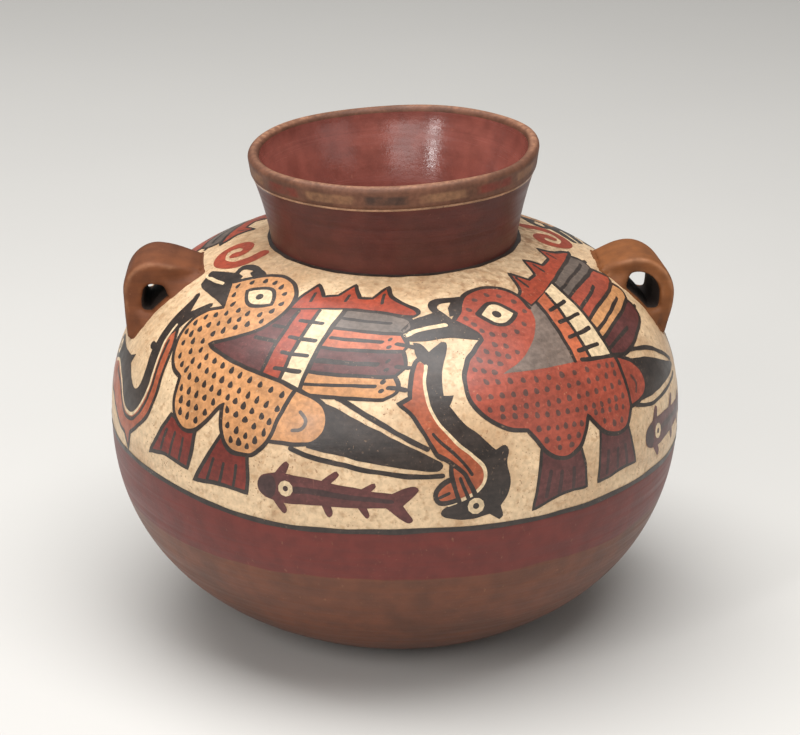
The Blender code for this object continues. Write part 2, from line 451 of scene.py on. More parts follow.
@dataclass(frozen=True)
class ClayFinish:
    """Burnished clay: cloudy from the fire, with level polishing streaks, grit and small scratches."""

    name: str
    colour: Colour
    cloud: Colour
    grit: Colour = (176, 128, 92)
    roughness: float = 0.44
    streak: float = 0.10
    relief: float = 0.00030
    sheen: float = 0.50
    edges: Colour | None = None
    band_colour: Colour | None = None
    band_bottom: float = 0.0648

    def material(self) -> Material:
        """Builds the node material.

        Returns:
            The material.
        """
        sketch = Sketch(self.name)
        streaks = sketch.grain(1.0, 5.0, sketch.stretched(12.0, 460.0))
        clouds = sketch.band(sketch.grain(26.0, 6.0, warp=0.8), 0.36, 0.72)
        base = sketch.mix(clouds, linear(self.colour), linear(self.cloud))
        # rubbed wear and a painted highlight: the handles' ridges are lightened towards the edges colour
        if self.edges is not None:
            rubbed = sketch.band(sketch.grain(240.0, 5.0), 0.25, 0.70, 0.35, 0.85)
            bare = sketch.calc("MULTIPLY", sketch.stored(EDGE_WEAR_AND_HIGHLIGHT), rubbed)
            base = sketch.mix(bare, base, linear(self.edges))
        if self.band_colour is not None:
            level = sketch.parts()[2]
            ragged = sketch.calc("MULTIPLY", sketch.grain(1.0, 5.0, sketch.stretched(34.0, 120.0)), 0.0045)
            edge = sketch.calc("ADD", level, ragged)
            above = sketch.band(edge, self.band_bottom + 0.0019, self.band_bottom + 0.0027)
            cover = sketch.calc("MULTIPLY", above, sketch.band(streaks, 0.18, 0.42, 0.90, 1.0))
            base = sketch.mix(cover, base, linear(self.band_colour))
        toned = sketch.tone(base, streaks, 1.0 - self.streak, 1.0 + self.streak)
        mottled = sketch.tone(toned, sketch.grain(140.0, 6.0), 0.86, 1.13)
        bits = sketch.band(sketch.grain(1100.0, 2.0), 0.70, 0.78)
        patches = sketch.band(sketch.grain(50.0, 3.0), 0.40, 0.70)
        gritty = sketch.calc("MULTIPLY", sketch.calc("MULTIPLY", bits, patches), 0.55)
        colour = sketch.mix(gritty, mottled, linear(self.grit))
        scuffs = sketch.band(sketch.grain(1.0, 4.0, sketch.stretched(700.0, 240.0)), 0.66, 0.78)
        scuffed = sketch.mix(sketch.calc("MULTIPLY", scuffs, 0.28), colour, linear(self.grit))
        rough = sketch.band(streaks, 0.2, 0.8, self.roughness - 0.08, self.roughness + 0.10)
        fine = sketch.bump(sketch.grain(700.0, 6.0), 0.00014, 0.5)
        relief = sketch.bump(streaks, self.relief, 0.5, fine)
        return sketch.finish(scuffed, rough, relief, self.sheen)


@dataclass(frozen=True)
class LipFinish:
    """The rim's clay with its row of rubbed, painted oblongs in red, tan and dark."""

    name: str = "lip_band"
    clay: Colour = (104, 68, 51)
    # the lighter colour of the rim's top: rubbed wear and a painted highlight
    worn: Colour = (170, 124, 95)
    rim_top_low: float = 0.2134
    rim_top_high: float = 0.2170
    paints: tuple[Colour, ...] = ((120, 50, 38), (142, 103, 74), (58, 45, 39))
    blocks: int = 16
    first_block: float = 2.53
    low: float = 0.2062
    high: float = 0.2114
    lean: float = 0.0380
    roughness: float = 0.56

    def material(self) -> Material:
        """Builds the node material.

        Returns:
            The material.
        """
        sketch = Sketch(self.name)
        across, ahead, up = sketch.parts()
        angle = sketch.calc("ARCTAN2", across, sketch.calc("MULTIPLY", ahead, -1.0))
        count = sketch.calc("MULTIPLY", angle, self.blocks / (2.0 * math.pi))
        drift = sketch.calc("MULTIPLY", sketch.grain(38.0, 3.0), 0.6)
        steps = sketch.calc("ADD", sketch.calc("ADD", count, self.first_block), drift)
        part = sketch.calc("FRACT", steps)
        block = sketch.calc("FLOOR", steps)
        sides = sketch.calc("MULTIPLY", sketch.band(part, 0.05, 0.16), sketch.band(part, 0.95, 0.80))
        level = sketch.calc("SUBTRACT", up, sketch.calc("MULTIPLY", across, self.lean))
        rise = sketch.calc("MULTIPLY", sketch.band(level, self.low, self.low + 0.0012),
                           sketch.band(level, self.high, self.high - 0.0016))
        rubbed = sketch.band(sketch.grain(190.0, 6.0, warp=0.5), 0.30, 0.62, 0.30, 0.80)
        cover = sketch.calc("MULTIPLY", sketch.calc("MULTIPLY", sides, rise), rubbed)
        turn = sketch.calc("FRACT", sketch.calc("MULTIPLY", block, 0.25))
        odd = sketch.calc("FRACT", sketch.calc("MULTIPLY", block, 0.5))
        first, second, third = (linear(paint) for paint in self.paints)
        pair = sketch.mix(sketch.calc("GREATER_THAN", turn, 0.4), first, third)
        paint = sketch.mix(sketch.calc("GREATER_THAN", odd, 0.25), pair, second)
        plain = sketch.tone(linear(self.clay), sketch.grain(90.0, 6.0), 0.78, 1.2)
        # lighter along the top of the rim: rubbed wear and a painted highlight
        crest = sketch.calc("MULTIPLY", sketch.band(level, self.rim_top_low, self.rim_top_low + 0.0012),
                            sketch.band(level, self.rim_top_high, self.rim_top_high - 0.0012))
        handled = sketch.band(sketch.grain(330.0, 8.0, warp=0.4), 0.34, 0.64, 0.15, 0.60)
        clay = sketch.mix(sketch.calc("MULTIPLY", crest, handled), plain, linear(self.worn))
        colour = sketch.tone(sketch.mix(cover, clay, paint), sketch.grain(600.0, 4.0), 0.86, 1.12)
        rough = sketch.band(sketch.grain(130.0), 0.2, 0.8, self.roughness - 0.07, self.roughness + 0.09)
        relief = sketch.bump(sketch.grain(420.0, 6.0), 0.00022, 0.5)
        return sketch.finish(colour, rough, relief, 0.30)


PAINTS = {
    Slip.CREAM: PaintFinish("cream_slip_paint", (212, 186, 149), (184, 144, 100), 0.6, 0.07),
    Slip.OCHRE: PaintFinish("ochre_slip", (188, 134, 88), (218, 182, 138), 0.45, 0.12),
    Slip.CREST_RED: PaintFinish("crest_red_slip", (151, 63, 41), (204, 140, 104), 0.42, 0.14),
    Slip.BIRD_RED: PaintFinish("bird_red_slip", (150, 69, 51), (200, 140, 106), 0.42, 0.14),
    Slip.ORANGE: PaintFinish("orange_slip", (176, 94, 62), (208, 148, 110), 0.42, 0.14),
    Slip.FISH_RED: PaintFinish("fish_red_slip", (158, 82, 53), (202, 142, 106), 0.42, 0.14),
    # painted sheen: the charcoal wing slip is made lighter than the slip itself, to stand for its sheen
    Slip.CHARCOAL_WITH_SHEEN: PaintFinish("charcoal_slip", (112, 96, 86), (140, 112, 92), 0.42, 0.20),
    Slip.MAROON: PaintFinish("maroon_slip", (89, 48, 45), (146, 98, 82), 0.42, 0.18),
    Slip.FOOT_RED: PaintFinish("foot_red_slip", (114, 41, 31), (180, 116, 88), 0.42, 0.16),
    Slip.BLACK: PaintFinish("black_slip", (52, 43, 38), (150, 120, 95), 0.55, 0.24),
    Slip.GREY: PaintFinish("grey_slip", (100, 87, 78), (170, 150, 124), 0.35, 0.16),
    Slip.DEEP_MAROON: PaintFinish("deep_maroon_slip", (64, 43, 41), (120, 84, 70), 0.35, 0.18),
    Slip.SOFT_DARK: PaintFinish("soft_dark_slip", (92, 61, 53), (130, 90, 76), 0.35, 0.20),
}

INSIDE_CLAY = ClayFinish("inside_clay", (112, 62, 50), (88, 52, 44))


class Finishes:
    """Makes each material once, when a piece first asks for it."""

    made: dict[str, Material] = {}

    @classmethod
    def of(cls, finish: PaintFinish | CreamFinish | ClayFinish | LipFinish) -> Material:
        """Gives the material of a finish.

        Args:
            finish: The finish.

        Returns:
            The material, made on the first call.
        """
        if finish.name not in cls.made:
            cls.made[finish.name] = finish.material()
        return cls.made[finish.name]


def ring_points(angle: np.ndarray, radius: np.ndarray, height: np.ndarray) -> np.ndarray:
    """Points at those radii and heights, at those angles from the front."""
    return np.stack([radius * np.sin(angle), -radius * np.cos(angle), height], axis=-1)


@dataclass(frozen=True)
class Wall:
    """The outer face of the jar's body, and the way from the unrolled painting to it."""

    belly_radius: float = 0.125
    belly_height: float = 0.094
    bowl_depth: float = 0.100
    bowl_fullness: float = 2.15
    rise: float = 0.084
    rise_fullness: float = 2.4
    neck_radius: float = 0.0532
    border_height: float = 0.088
    unevenness: float = 0.00028
    even_ends: float = 0.012
    table: tuple[np.ndarray, np.ndarray, np.ndarray] = field(init=False, repr=False)

    def __post_init__(self) -> None:
        """Measures the wall's curve once: the arc length, radius and height along it."""
        low = np.linspace(0.0, self.belly_height, 900)
        top = self.rise * (1.0 - (self.neck_radius / self.belly_radius) ** self.rise_fullness) ** (
            1.0 / self.rise_fullness)
        high = self.belly_height + np.linspace(0.0, top, 900)[1:]
        heights = np.concatenate([low, high])
        radii = np.array([self.radius_at(z) for z in heights])
        steps = np.hypot(np.diff(radii), np.diff(heights))
        arcs = np.concatenate([[0.0], np.cumsum(steps)])
        arcs -= np.interp(self.border_height, heights, arcs)
        object.__setattr__(self, "table", (arcs, radii, heights))

    def radius_at(self, height: float) -> float:
        """Measures the wall.

        Args:
            height: A height, in metres.

        Returns:
            The radius of the wall there.
        """
        if height < self.belly_height:
            reach, fullness = self.bowl_depth, self.bowl_fullness
        else:
            reach, fullness = self.rise, self.rise_fullness
        share = min(1.0, abs(height - self.belly_height) / reach)
        return self.belly_radius * (1.0 - share ** fullness) ** (1.0 / fullness)

    def last_arc(self) -> float:
        """How far up the wall the neck's root lies."""
        return float(self.table[0][-1])

    def first_arc(self) -> float:
        """How far down the wall the flat spot's edge lies."""
        return float(self.table[0][0])

    def across(self, arc: np.ndarray) -> tuple[np.ndarray, np.ndarray]:
        """The radius and height at places up the wall."""
        arcs, radii, heights = self.table
        return np.interp(arc, arcs, radii), np.interp(arc, arcs, heights)

    def point(self, angle: np.ndarray, arc: np.ndarray, lift: np.ndarray | float = 0.0) -> np.ndarray:
        """Points on the wall.

        Args:
            angle: Angle round the jar, in radians from the front towards the right.
            arc: Places up the wall, in metres from the border line.
            lift: How far off the wall.

        Returns:
            One row of x, y and z for each point.
        """
        radius, height = self.across(arc)
        step = 0.0005
        above_r, above_z = self.across(arc + step)
        below_r, below_z = self.across(arc - step)
        run, climb = above_r - below_r, above_z - below_z
        length = np.maximum(np.hypot(run, climb), 1e-9)
        uneven = self.unevenness * (np.sin(2.0 * angle + 0.6) + 0.6 * np.sin(3.0 * angle - 30.0 * height)
                                    + 0.5 * np.sin(5.0 * angle + 55.0 * height + 1.0))
        to_neck = np.clip((self.last_arc() - arc) / self.even_ends, 0.0, 1.0)
        fade = np.clip(height / self.even_ends, 0.0, 1.0) * to_neck
        off = lift + uneven * fade
        radius = radius + off * climb / length
        height = height - off * run / length
        return ring_points(angle, radius, height)

    def unroll(self, points: np.ndarray) -> tuple[np.ndarray, np.ndarray, np.ndarray]:
        """Finds where points near the wall lie on it.

        Args:
            points: One row of x, y and z for each point.

        Returns:
            The angle, the place up the wall and the lift of each point.
        """
        angle = np.arctan2(points[:, 0], -points[:, 1])
        radius = np.hypot(points[:, 0], points[:, 1])
        arcs, radii, heights = (part[::6] for part in self.table)
        gap = (radius[:, None] - radii[None, :]) ** 2 + (points[:, 2, None] - heights[None, :]) ** 2
        nearest = np.argmin(gap, axis=1)
        upward = np.sign(heights[nearest] - self.belly_height)
        outward = radius - radii[nearest] + (points[:, 2] - heights[nearest]) * upward
        lift = np.sqrt(gap[np.arange(len(points)), nearest]) * np.where(outward < 0.0, -1.0, 1.0)
        return angle, arcs[nearest], lift


def smooth(points: Outline, closed: bool, step: float = 1.1) -> np.ndarray:
    """Draws a brush line through points: sharp at corners and smooth between them.

    Args:
        points: The outline's points.
        closed: Whether the line returns to its start.
        step: The distance between drawn points, in millimetres.

    Returns:
        The drawn points, one row each.
    """
    count = len(points)
    drawn = []
    spans = count if closed else count - 1
    for i in range(spans):
        first, second = points[i], points[(i + 1) % count]
        before = points[i - 1] if (closed or i > 0) else first
        after = points[(i + 2) % count] if (closed or i + 2 < count) else second
        p0, p1, p2, p3 = (np.array(p, float) for p in (before, first, second, after))
        if isinstance(first, Corner):
            p0 = p1
        if isinstance(second, Corner):
            p3 = p2
        span = float(np.linalg.norm(p2 - p1))
        steps = max(1, int(round(span / step)))
        lead = (p2 - p0) / max(1e-6, np.linalg.norm(p2 - p0)) * span if p0 is not p1 else p2 - p1
        tail = (p3 - p1) / max(1e-6, np.linalg.norm(p3 - p1)) * span if p3 is not p2 else p2 - p1
        for j in range(steps):
            t = j / steps
            drawn.append((2 * t ** 3 - 3 * t ** 2 + 1) * p1 + (t ** 3 - 2 * t ** 2 + t) * lead
                         + (3 * t ** 2 - 2 * t ** 3) * p2 + (t ** 3 - t ** 2) * tail)
    if not closed:
        drawn.append(np.array(points[-1], float))
    return np.array(drawn)


def shake(points: np.ndarray, amount: float, seed: float) -> np.ndarray:
    """Moves points a little, as a hand does.

    Args:
        points: The points.
        amount: How far they move, in millimetres.
        seed: Picks the noise that moves them.

    Returns:
        The moved points.
    """
    moved = []
    for u, v in points:
        place = Vector((u * 0.16, v * 0.16, seed))
        other = place + Vector((31.7, 11.3, 5.1))
        moved.append((u + amount * noise.noise(place), v + amount * noise.noise(other)))
    return np.array(moved)


def inside(polygon: np.ndarray, points: np.ndarray) -> np.ndarray:
    """Finds which points lie in a polygon.

    Args:
        polygon: Its corners.
        points: The points.

    Returns:
        Whether each point lies in it.
    """
    found = np.zeros(len(points), bool)
    x, y = points[:, 0], points[:, 1]
    for (x1, y1), (x2, y2) in zip(polygon, np.roll(polygon, -1, axis=0)):
        crosses = (y1 > y) != (y2 > y)
        if y1 != y2:
            found ^= crosses & (x < (x2 - x1) * (y - y1) / (y2 - y1) + x1)
    return found


class Mark(ABC):
    """One stroke or field of a painted figure."""

    slip: Slip

    @abstractmethod
    def rims(self) -> list[np.ndarray]:
        """The closed edges of the mark."""

    @abstractmethod
    def covers(self, points: np.ndarray) -> np.ndarray:
        """Which points the mark covers."""


class Area(Mark):
    """A field filled with one slip."""

    def __init__(self, slip: Slip, *points: tuple[float, float]) -> None:
        """Draws the field's outline through the points."""
        self.slip = slip
        self.edge = shake(smooth(points, True), HAND_SHAKE, HAND_SEED)

    def rims(self) -> list[np.ndarray]:
        """The field's outline."""
        return [self.edge]

    def covers(self, points: np.ndarray) -> np.ndarray:
        """Which points lie in the field."""
        return inside(self.edge, points)


class Line(Mark):
    """A brush line, with ends that round off and a width that breathes."""

    def __init__(self, slip: Slip, width: float, *points: tuple[float, float], closed: bool = False,
                 last_width: float | None = None) -> None:
        """Draws the line.

        Args:
            slip: Its slip.
            width: Its width, in millimetres.
            *points: The points that it passes.
            closed: Whether it returns to its start.
            last_width: Its width at the end, where it tapers.
        """
        self.slip = slip
        self.path = shake(smooth(points, closed), HAND_SHAKE, HAND_SEED)
        self.closed = closed
        count = len(self.path)
        ends = np.linspace(width, width if last_width is None else last_width, count)
        breath = [noise.noise(Vector((u * 0.11, v * 0.11, 9.0))) for u, v in self.path]
        self.half = 0.5 * ends * (1.0 + 0.22 * np.array(breath))

    def ribbon(self) -> tuple[np.ndarray, np.ndarray]:
        """Widens the path.

        Returns:
            The two edges of the line.
        """
        path = self.path
        if self.closed:
            along = np.roll(path, -1, axis=0) - np.roll(path, 1, axis=0)
        else:
            along = np.gradient(path, axis=0)
        length = np.maximum(np.linalg.norm(along, axis=1, keepdims=True), 1e-6)
        side = np.stack([-along[:, 1], along[:, 0]], axis=1) / length
        return path + side * self.half[:, None], path - side * self.half[:, None]

    def rims(self) -> list[np.ndarray]:
        """Gives the closed edges of the line.

        Returns:
            Both edges of a closed line, or the one edge round an open line.
        """
        left, right = self.ribbon()
        if self.closed:
            return [left, right]
        caps = []
        for end, edge in ((-1, left), (0, right)):
            start = edge[end] - self.path[end]
            for turn in (45.0, 90.0, 135.0):
                a = -math.radians(turn)
                caps.append(self.path[end] + (start[0] * math.cos(a) - start[1] * math.sin(a),
                                              start[0] * math.sin(a) + start[1] * math.cos(a)))
        return [np.concatenate([left, caps[:3], right[::-1], caps[3:]])]

    def covers(self, points: np.ndarray) -> np.ndarray:
        """Finds which points the line covers.

        Args:
            points: The points.

        Returns:
            Whether each lies within half the width of the line's path.
        """
        ends = np.roll(self.path, -1, axis=0) if self.closed else self.path[1:]
        starts = self.path if self.closed else self.path[:-1]
        found = np.zeros(len(points), bool)
        for start, end, half in zip(starts, ends, self.half):
            reach = half + np.abs(end - start) / 2.0 + 0.2
            near = np.all(np.abs(points - (start + end) / 2.0) < reach, axis=1)
            if not near.any():
                continue
            step = end - start
            share = np.clip((points[near] - start) @ step / max(1e-9, step @ step), 0.0, 1.0)
            gap = np.linalg.norm(points[near] - start - share[:, None] * step, axis=1)
            found[np.flatnonzero(near)[gap <= half + 0.02]] = True
        return found


class Dots(Mark):
    """Dabs of the brush: single ones, and rows of them along a start, a middle and an end."""

    sides = 10

    def __init__(self, slip: Slip, width: float, height: float, singles: Outline = (),
                 rows: Sequence[tuple] = (), taper: float = 0.0) -> None:
        """Places the dabs.

        Args:
            slip: Their slip.
            width: Their width, in millimetres.
            height: Their height.
            singles: Places of single dabs.
            rows: The start, middle, end and count of each row.
            taper: How far their tops are drawn in.
        """
        self.slip = slip
        self.spots: list[np.ndarray] = []
        places = [tuple(spot) for spot in singles]
        for start, middle, end, count in rows:
            for i in range(count):
                t = i / max(1, count - 1)
                shares = ((1 - t) * (1 - 2 * t), 4 * t * (1 - t), t * (2 * t - 1))
                places.append(tuple(sum(s * p[axis] for s, p in zip(shares, (start, middle, end)))
                                    for axis in (0, 1)))
        for u, v in places:
            odd = [noise.noise(Vector((u * 1.7, v * 1.7, 2.0 + k))) for k in range(4)]
            wide, tall = 0.5 * width * (1.0 + 0.35 * odd[0]), 0.5 * height * (1.0 + 0.35 * odd[1])
            tilt = 0.7 * odd[2]
            ring = []
            for k in range(self.sides):
                a = 2.0 * math.pi * k / self.sides
                x = wide * math.cos(a) * (1.0 - taper * math.sin(a))
                y = tall * math.sin(a)
                ring.append((u + 0.5 * odd[3] + x * math.cos(tilt) - y * math.sin(tilt),
                             v + 0.5 * odd[0] + x * math.sin(tilt) + y * math.cos(tilt)))
            self.spots.append(np.array(ring))

    def rims(self) -> list[np.ndarray]:
        """The edge of each dab."""
        return self.spots

    def covers(self, points: np.ndarray) -> np.ndarray:
        """Finds which points the dabs cover.

        Args:
            points: The points.

        Returns:
            Whether each lies in a dab.
        """
        found = np.zeros(len(points), bool)
        for ring in self.spots:
            near = np.all((points >= ring.min(axis=0)) & (points <= ring.max(axis=0)), axis=1)
            if near.any():
                found[np.flatnonzero(near)] |= inside(ring, points[near])
        return found


def ink(width: float, *points: tuple[float, float], closed: bool = False) -> Line:
    """A black brush line of that width, in millimetres, through those points."""
    return Line(Slip.BLACK, width, *points, closed=closed)


def edged(slip: Slip, width: float, points: Outline) -> list[Mark]:
    """Paints an area and a black line round it.

    Args:
        slip: The area's slip.
        width: The line's width.
        points: The outline of both.

    Returns:
        The two marks.
    """
    return [Area(slip, *points), ink(width, *points, closed=True)]


class Figure:
    """A painted figure: marks in the order in which the painter laid them, later ones on top."""

    spacing = 3.0

    def __init__(self, name: str, marks: Sequence[Mark]) -> None:
        """Divides the painting into small faces, each of the slip that lies on top there.

        Args:
            name: The figure's name.
            marks: Its marks.
        """
        self.name = name
        corners, edges = self.edges_of(marks)
        low, high = corners.min(axis=0), corners.max(axis=0)
        grid = [(u, v) for u in np.arange(low[0], high[0], self.spacing)
                for v in np.arange(low[1], high[1], self.spacing)]
        points = [Vector(p) for p in corners] + [Vector(p) for p in grid]
        made = geometry.delaunay_2d_cdt(points, edges, [], 0, 0.01)
        self.points = np.array([tuple(p) for p in made[0]])
        faces = np.array([tuple(f) for f in made[2] if len(f) == 3])
        middles = self.points[faces].mean(axis=1)
        top = np.full(len(faces), -1)
        self.slips = list(dict.fromkeys(mark.slip for mark in marks))
        for mark in marks:
            top[mark.covers(middles)] = self.slips.index(mark.slip)
        self.faces, self.colours = faces[top >= 0], top[top >= 0]

    @staticmethod
    def edges_of(marks: Sequence[Mark]) -> tuple[np.ndarray, list[tuple[int, int]]]:
        """Collects the edges of the marks.

        Args:
            marks: The marks.

        Returns:
            All edge points, and the pairs of them that the division keeps.
        """
        points: list[np.ndarray] = []
        edges: list[tuple[int, int]] = []
        start = 0
        for mark in marks:
            for rim in mark.rims():
                count = len(rim)
                points.append(rim)
                edges += [(start + i, start + (i + 1) % count) for i in range(count)]
                start += count
        return np.concatenate(points), edges

    def lay(self, wall: Wall, degrees: float, lift: float, name: str) -> Piece:
        """Lays the figure on the wall.

        Args:
            wall: The wall to lay it on.
            degrees: The angle of the figure's middle, from the front towards the right.
            lift: The thickness of the paint.
            name: The piece's name.

        Returns:
            The painted piece.
        """
        arc = self.points[:, 1] * MM
        radius, _ = wall.across(arc)
        angle = math.radians(degrees) + self.points[:, 0] * MM / radius
        mesh = bpy.data.meshes.new(name)
        mesh.from_pydata(wall.point(angle, arc, lift).tolist(), [], self.faces.tolist())
        for slip in self.slips:
            mesh.materials.append(Finishes.of(PAINTS[slip]))
        mesh.polygons.foreach_set("material_index", self.colours.astype(np.int32))
        return settle(name, mesh)


def settle(name: str, mesh: Mesh) -> Piece:
    """Tidies a mesh, shades it smoothly and puts it in the scene.

    Args:
        name: The piece's name.
        mesh: The mesh.

    Returns:
        The piece.
    """
    mesh.validate()
    mesh.shade_smooth()
    mesh.set_sharp_from_angle(angle=SHARP_ANGLE)
    mesh.update()
    obj = bpy.data.objects.new(name, mesh)
    bpy.context.scene.collection.objects.link(obj)
    return obj


def turned(name: str, rings: Outline, turns: int, move: Move, materials: Sequence[Material],
           parts: Sequence[int] = ()) -> Piece:
    """Turns an outline about the jar's axis.

    Args:
        name: The piece's name.
        rings: Radius and height of each ring; a first or last ring of no radius closes the piece.
        turns: Faces round the jar.
        move: Gives the points of a ring from its angles, radii and heights.
        materials: The finishes.
        parts: The finish of each strip between two rings.

    Returns:
        The turned piece.
    """
    angle = np.linspace(-math.pi, math.pi, turns, endpoint=False)
    points: list[list[float]] = []
    starts: list[tuple[int, bool]] = []
    for radius, height in rings:
        starts.append((len(points), radius < 1e-6))
        if radius < 1e-6:
            points.append([0.0, 0.0, height])
            continue
        points += move(angle, np.full(turns, radius), np.full(turns, height)).tolist()
    faces: list[list[int]] = []
    finish: list[int] = []
    for strip, ((low, low_end), (high, high_end)) in enumerate(zip(starts, starts[1:])):
        for i in range(turns):
            j = (i + 1) % turns
            face = [low] if low_end else [low + i, low + j]
            face += [high] if high_end else [high + j, high + i]
            faces.append(face)
            finish.append(parts[strip] if parts else 0)
    mesh = bpy.data.meshes.new(name)
    mesh.from_pydata(points, [], faces)
    for material in materials:
        mesh.materials.append(material)
    mesh.polygons.foreach_set("material_index", np.array(finish, np.int32))
    return settle(name, mesh)


def border_arc(angle: np.ndarray) -> np.ndarray:
    """Gives the course of the painted border between cream and red.

    Args:
        angle: Angles from the front.

    Returns:
        How far it strays up or down the wall there, in metres.
    """
    angle = np.angle(np.exp(1j * (angle + math.radians(VIEW_TURN))))
    left = np.clip((-np.degrees(angle) - 15.0) / 52.0, 0.0, 1.0)
    wave = 0.5 * np.sin(3.0 * angle + 0.4) + 0.35 * np.sin(7.0 * angle + 1.2)
    back = np.clip((np.abs(np.degrees(angle)) - 95.0) / 60.0, 0.0, 1.0)
    return MM * (BORDER_RISE * left * left * (3.0 - 2.0 * left) * (1.0 - back) + BORDER_WAVE * wave)


def on_wall(wall: Wall, arcs: np.ndarray, far_arc: float) -> Move:
    """Makes the move that lays rings on the uneven wall, where those near the border follow its course.

    Args:
        wall: The wall.
        arcs: The places up the wall of the rings that lie on it.
        far_arc: Where up the wall the border's course no longer shows.

    Returns:
        The move; rings that aren't on the wall stay as they are.
    """
    radii, heights = wall.across(arcs)
    places = {(round(r, 9), round(z, 9)): arc for r, z, arc in zip(radii, heights, arcs)}

    def move(angle: np.ndarray, radius: np.ndarray, height: np.ndarray) -> np.ndarray:
        """Lays one ring.

        Args:
            angle: Angles from the front.
            radius: The ring's radius at each angle.
            height: The ring's height at each angle.

        Returns:
            The ring's points.
        """
        arc = places.get((round(float(radius[0]), 9), round(float(height[0]), 9)))
        if arc is None:
            return ring_points(angle, radius, height)
        share = max(0.0, 1.0 - arc / far_arc)
        return wall.point(angle, arc + border_arc(angle) * share ** 3)

    return move


@dataclass
class Bowl:
    """The lower wall: bare burnished clay with a red slip band under the border."""

    wall: Wall
    thickness: float = 0.0055
    floor: float = 0.0070
    inside_fullness: float = 2.4
    turns: int = 288
    rows: int = 60
    clay: ClayFinish = ClayFinish("bare_clay", (107, 59, 36), (90, 51, 32), streak=0.07,
                                  band_colour=(102, 37, 29))
    inner: ClayFinish = INSIDE_CLAY

    def build(self) -> Piece:
        """Builds the bowl's outside, its inside and the joint between them.

        Returns:
            The piece.
        """
        wall = self.wall
        arcs = np.linspace(wall.first_arc(), 0.0, self.rows)
        radii, heights = wall.across(arcs)
        outer = [(0.0, 0.0), (float(radii[0]) * 0.55, 0.0), (float(radii[0]) - 0.0012, 0.0)]
        outer += list(zip(radii.tolist(), heights.tolist()))
        inner = []
        for share in np.linspace(0.0, 1.0, self.rows // 2):
            a = share * math.pi / 2.0
            power = 2.0 / self.inside_fullness
            inner.append(((wall.belly_radius - self.thickness) * math.cos(a) ** power,
                          wall.belly_height - (wall.belly_height - self.floor) * math.sin(a) ** power))
        inner[-1] = (0.0, self.floor)
        move = on_wall(wall, arcs, wall.first_arc())
        parts = [0] * (len(outer) - 1) + [1] * len(inner)
        obj = turned("bowl_wall", outer + inner, self.turns, move,
                     (Finishes.of(self.clay), Finishes.of(self.inner)), parts)
        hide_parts("base_bowl")
        return obj


@dataclass
class Shoulder:
    """The upper wall: burnished cream slip outside and bare red clay inside."""

    wall: Wall
    thickness: float = 0.0055
    turns: int = 288
    rows: int = 72
    cream: CreamFinish = CreamFinish()
    inner: ClayFinish = INSIDE_CLAY

    def build(self) -> Piece:
        """Builds the shoulder from the painted border to the neck.

        Returns:
            The piece.
        """
        wall = self.wall
        arcs = np.linspace(0.0, wall.last_arc(), self.rows)
        radii, heights = wall.across(arcs)
        outer = list(zip(radii.tolist(), heights.tolist()))
        reach, rise = wall.belly_radius - self.thickness, wall.rise - self.thickness
        inner = []
        for radius in np.linspace(wall.neck_radius - self.thickness, reach, self.rows // 2):
            up = rise * (1.0 - (radius / reach) ** wall.rise_fullness) ** (1.0 / wall.rise_fullness)
            inner.append((float(radius), wall.belly_height + float(up)))
        move = on_wall(wall, arcs, wall.last_arc())
        parts = [0] * (len(outer) - 1) + [1] * len(inner)
        obj = turned("shoulder_wall", outer + inner, self.turns, move,
                     (Finishes.of(self.cream), Finishes.of(self.inner)), parts)
        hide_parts("shoulder")
        return obj


@dataclass
class Ring:
    """A painted line that runs round the jar's wall."""

    wall: Wall
    name: str
    arc: float
    width: float
    slip: Slip
    lift: float = 0.00016
    turns: int = 288
    stray: Callable[[np.ndarray], np.ndarray] | None = None

    def build(self) -> Piece:
        """Builds the line, with brushed edges that wander a little.

        Returns:
            The piece.
        """
        angle = np.linspace(-math.pi, math.pi, self.turns, endpoint=False)
        base = self.arc + (self.stray(angle) if self.stray else 0.0)
        wander = [[noise.noise(Vector((math.sin(a) * 9.0, math.cos(a) * 9.0, seed))) for a in angle]
                  for seed in (1.5, 7.5)]
        low = base - 0.5 * self.width * (1.0 + 0.4 * np.array(wander[0]))
        high = base + 0.5 * self.width * (1.0 + 0.4 * np.array(wander[1]))
        rows = [self.wall.point(angle, low + (high - low) * t, self.lift) for t in (0.0, 0.5, 1.0)]
        points = np.concatenate(rows).tolist()
        faces = []
        for row in (0, self.turns):
            for i in range(self.turns):
                j = (i + 1) % self.turns
                faces.append([row + i, row + j, row + self.turns + j, row + self.turns + i])
        mesh = bpy.data.meshes.new(self.name)
        mesh.from_pydata(points, [], faces)
        mesh.materials.append(Finishes.of(PAINTS[self.slip]))
        obj = settle(self.name, mesh)
        return obj


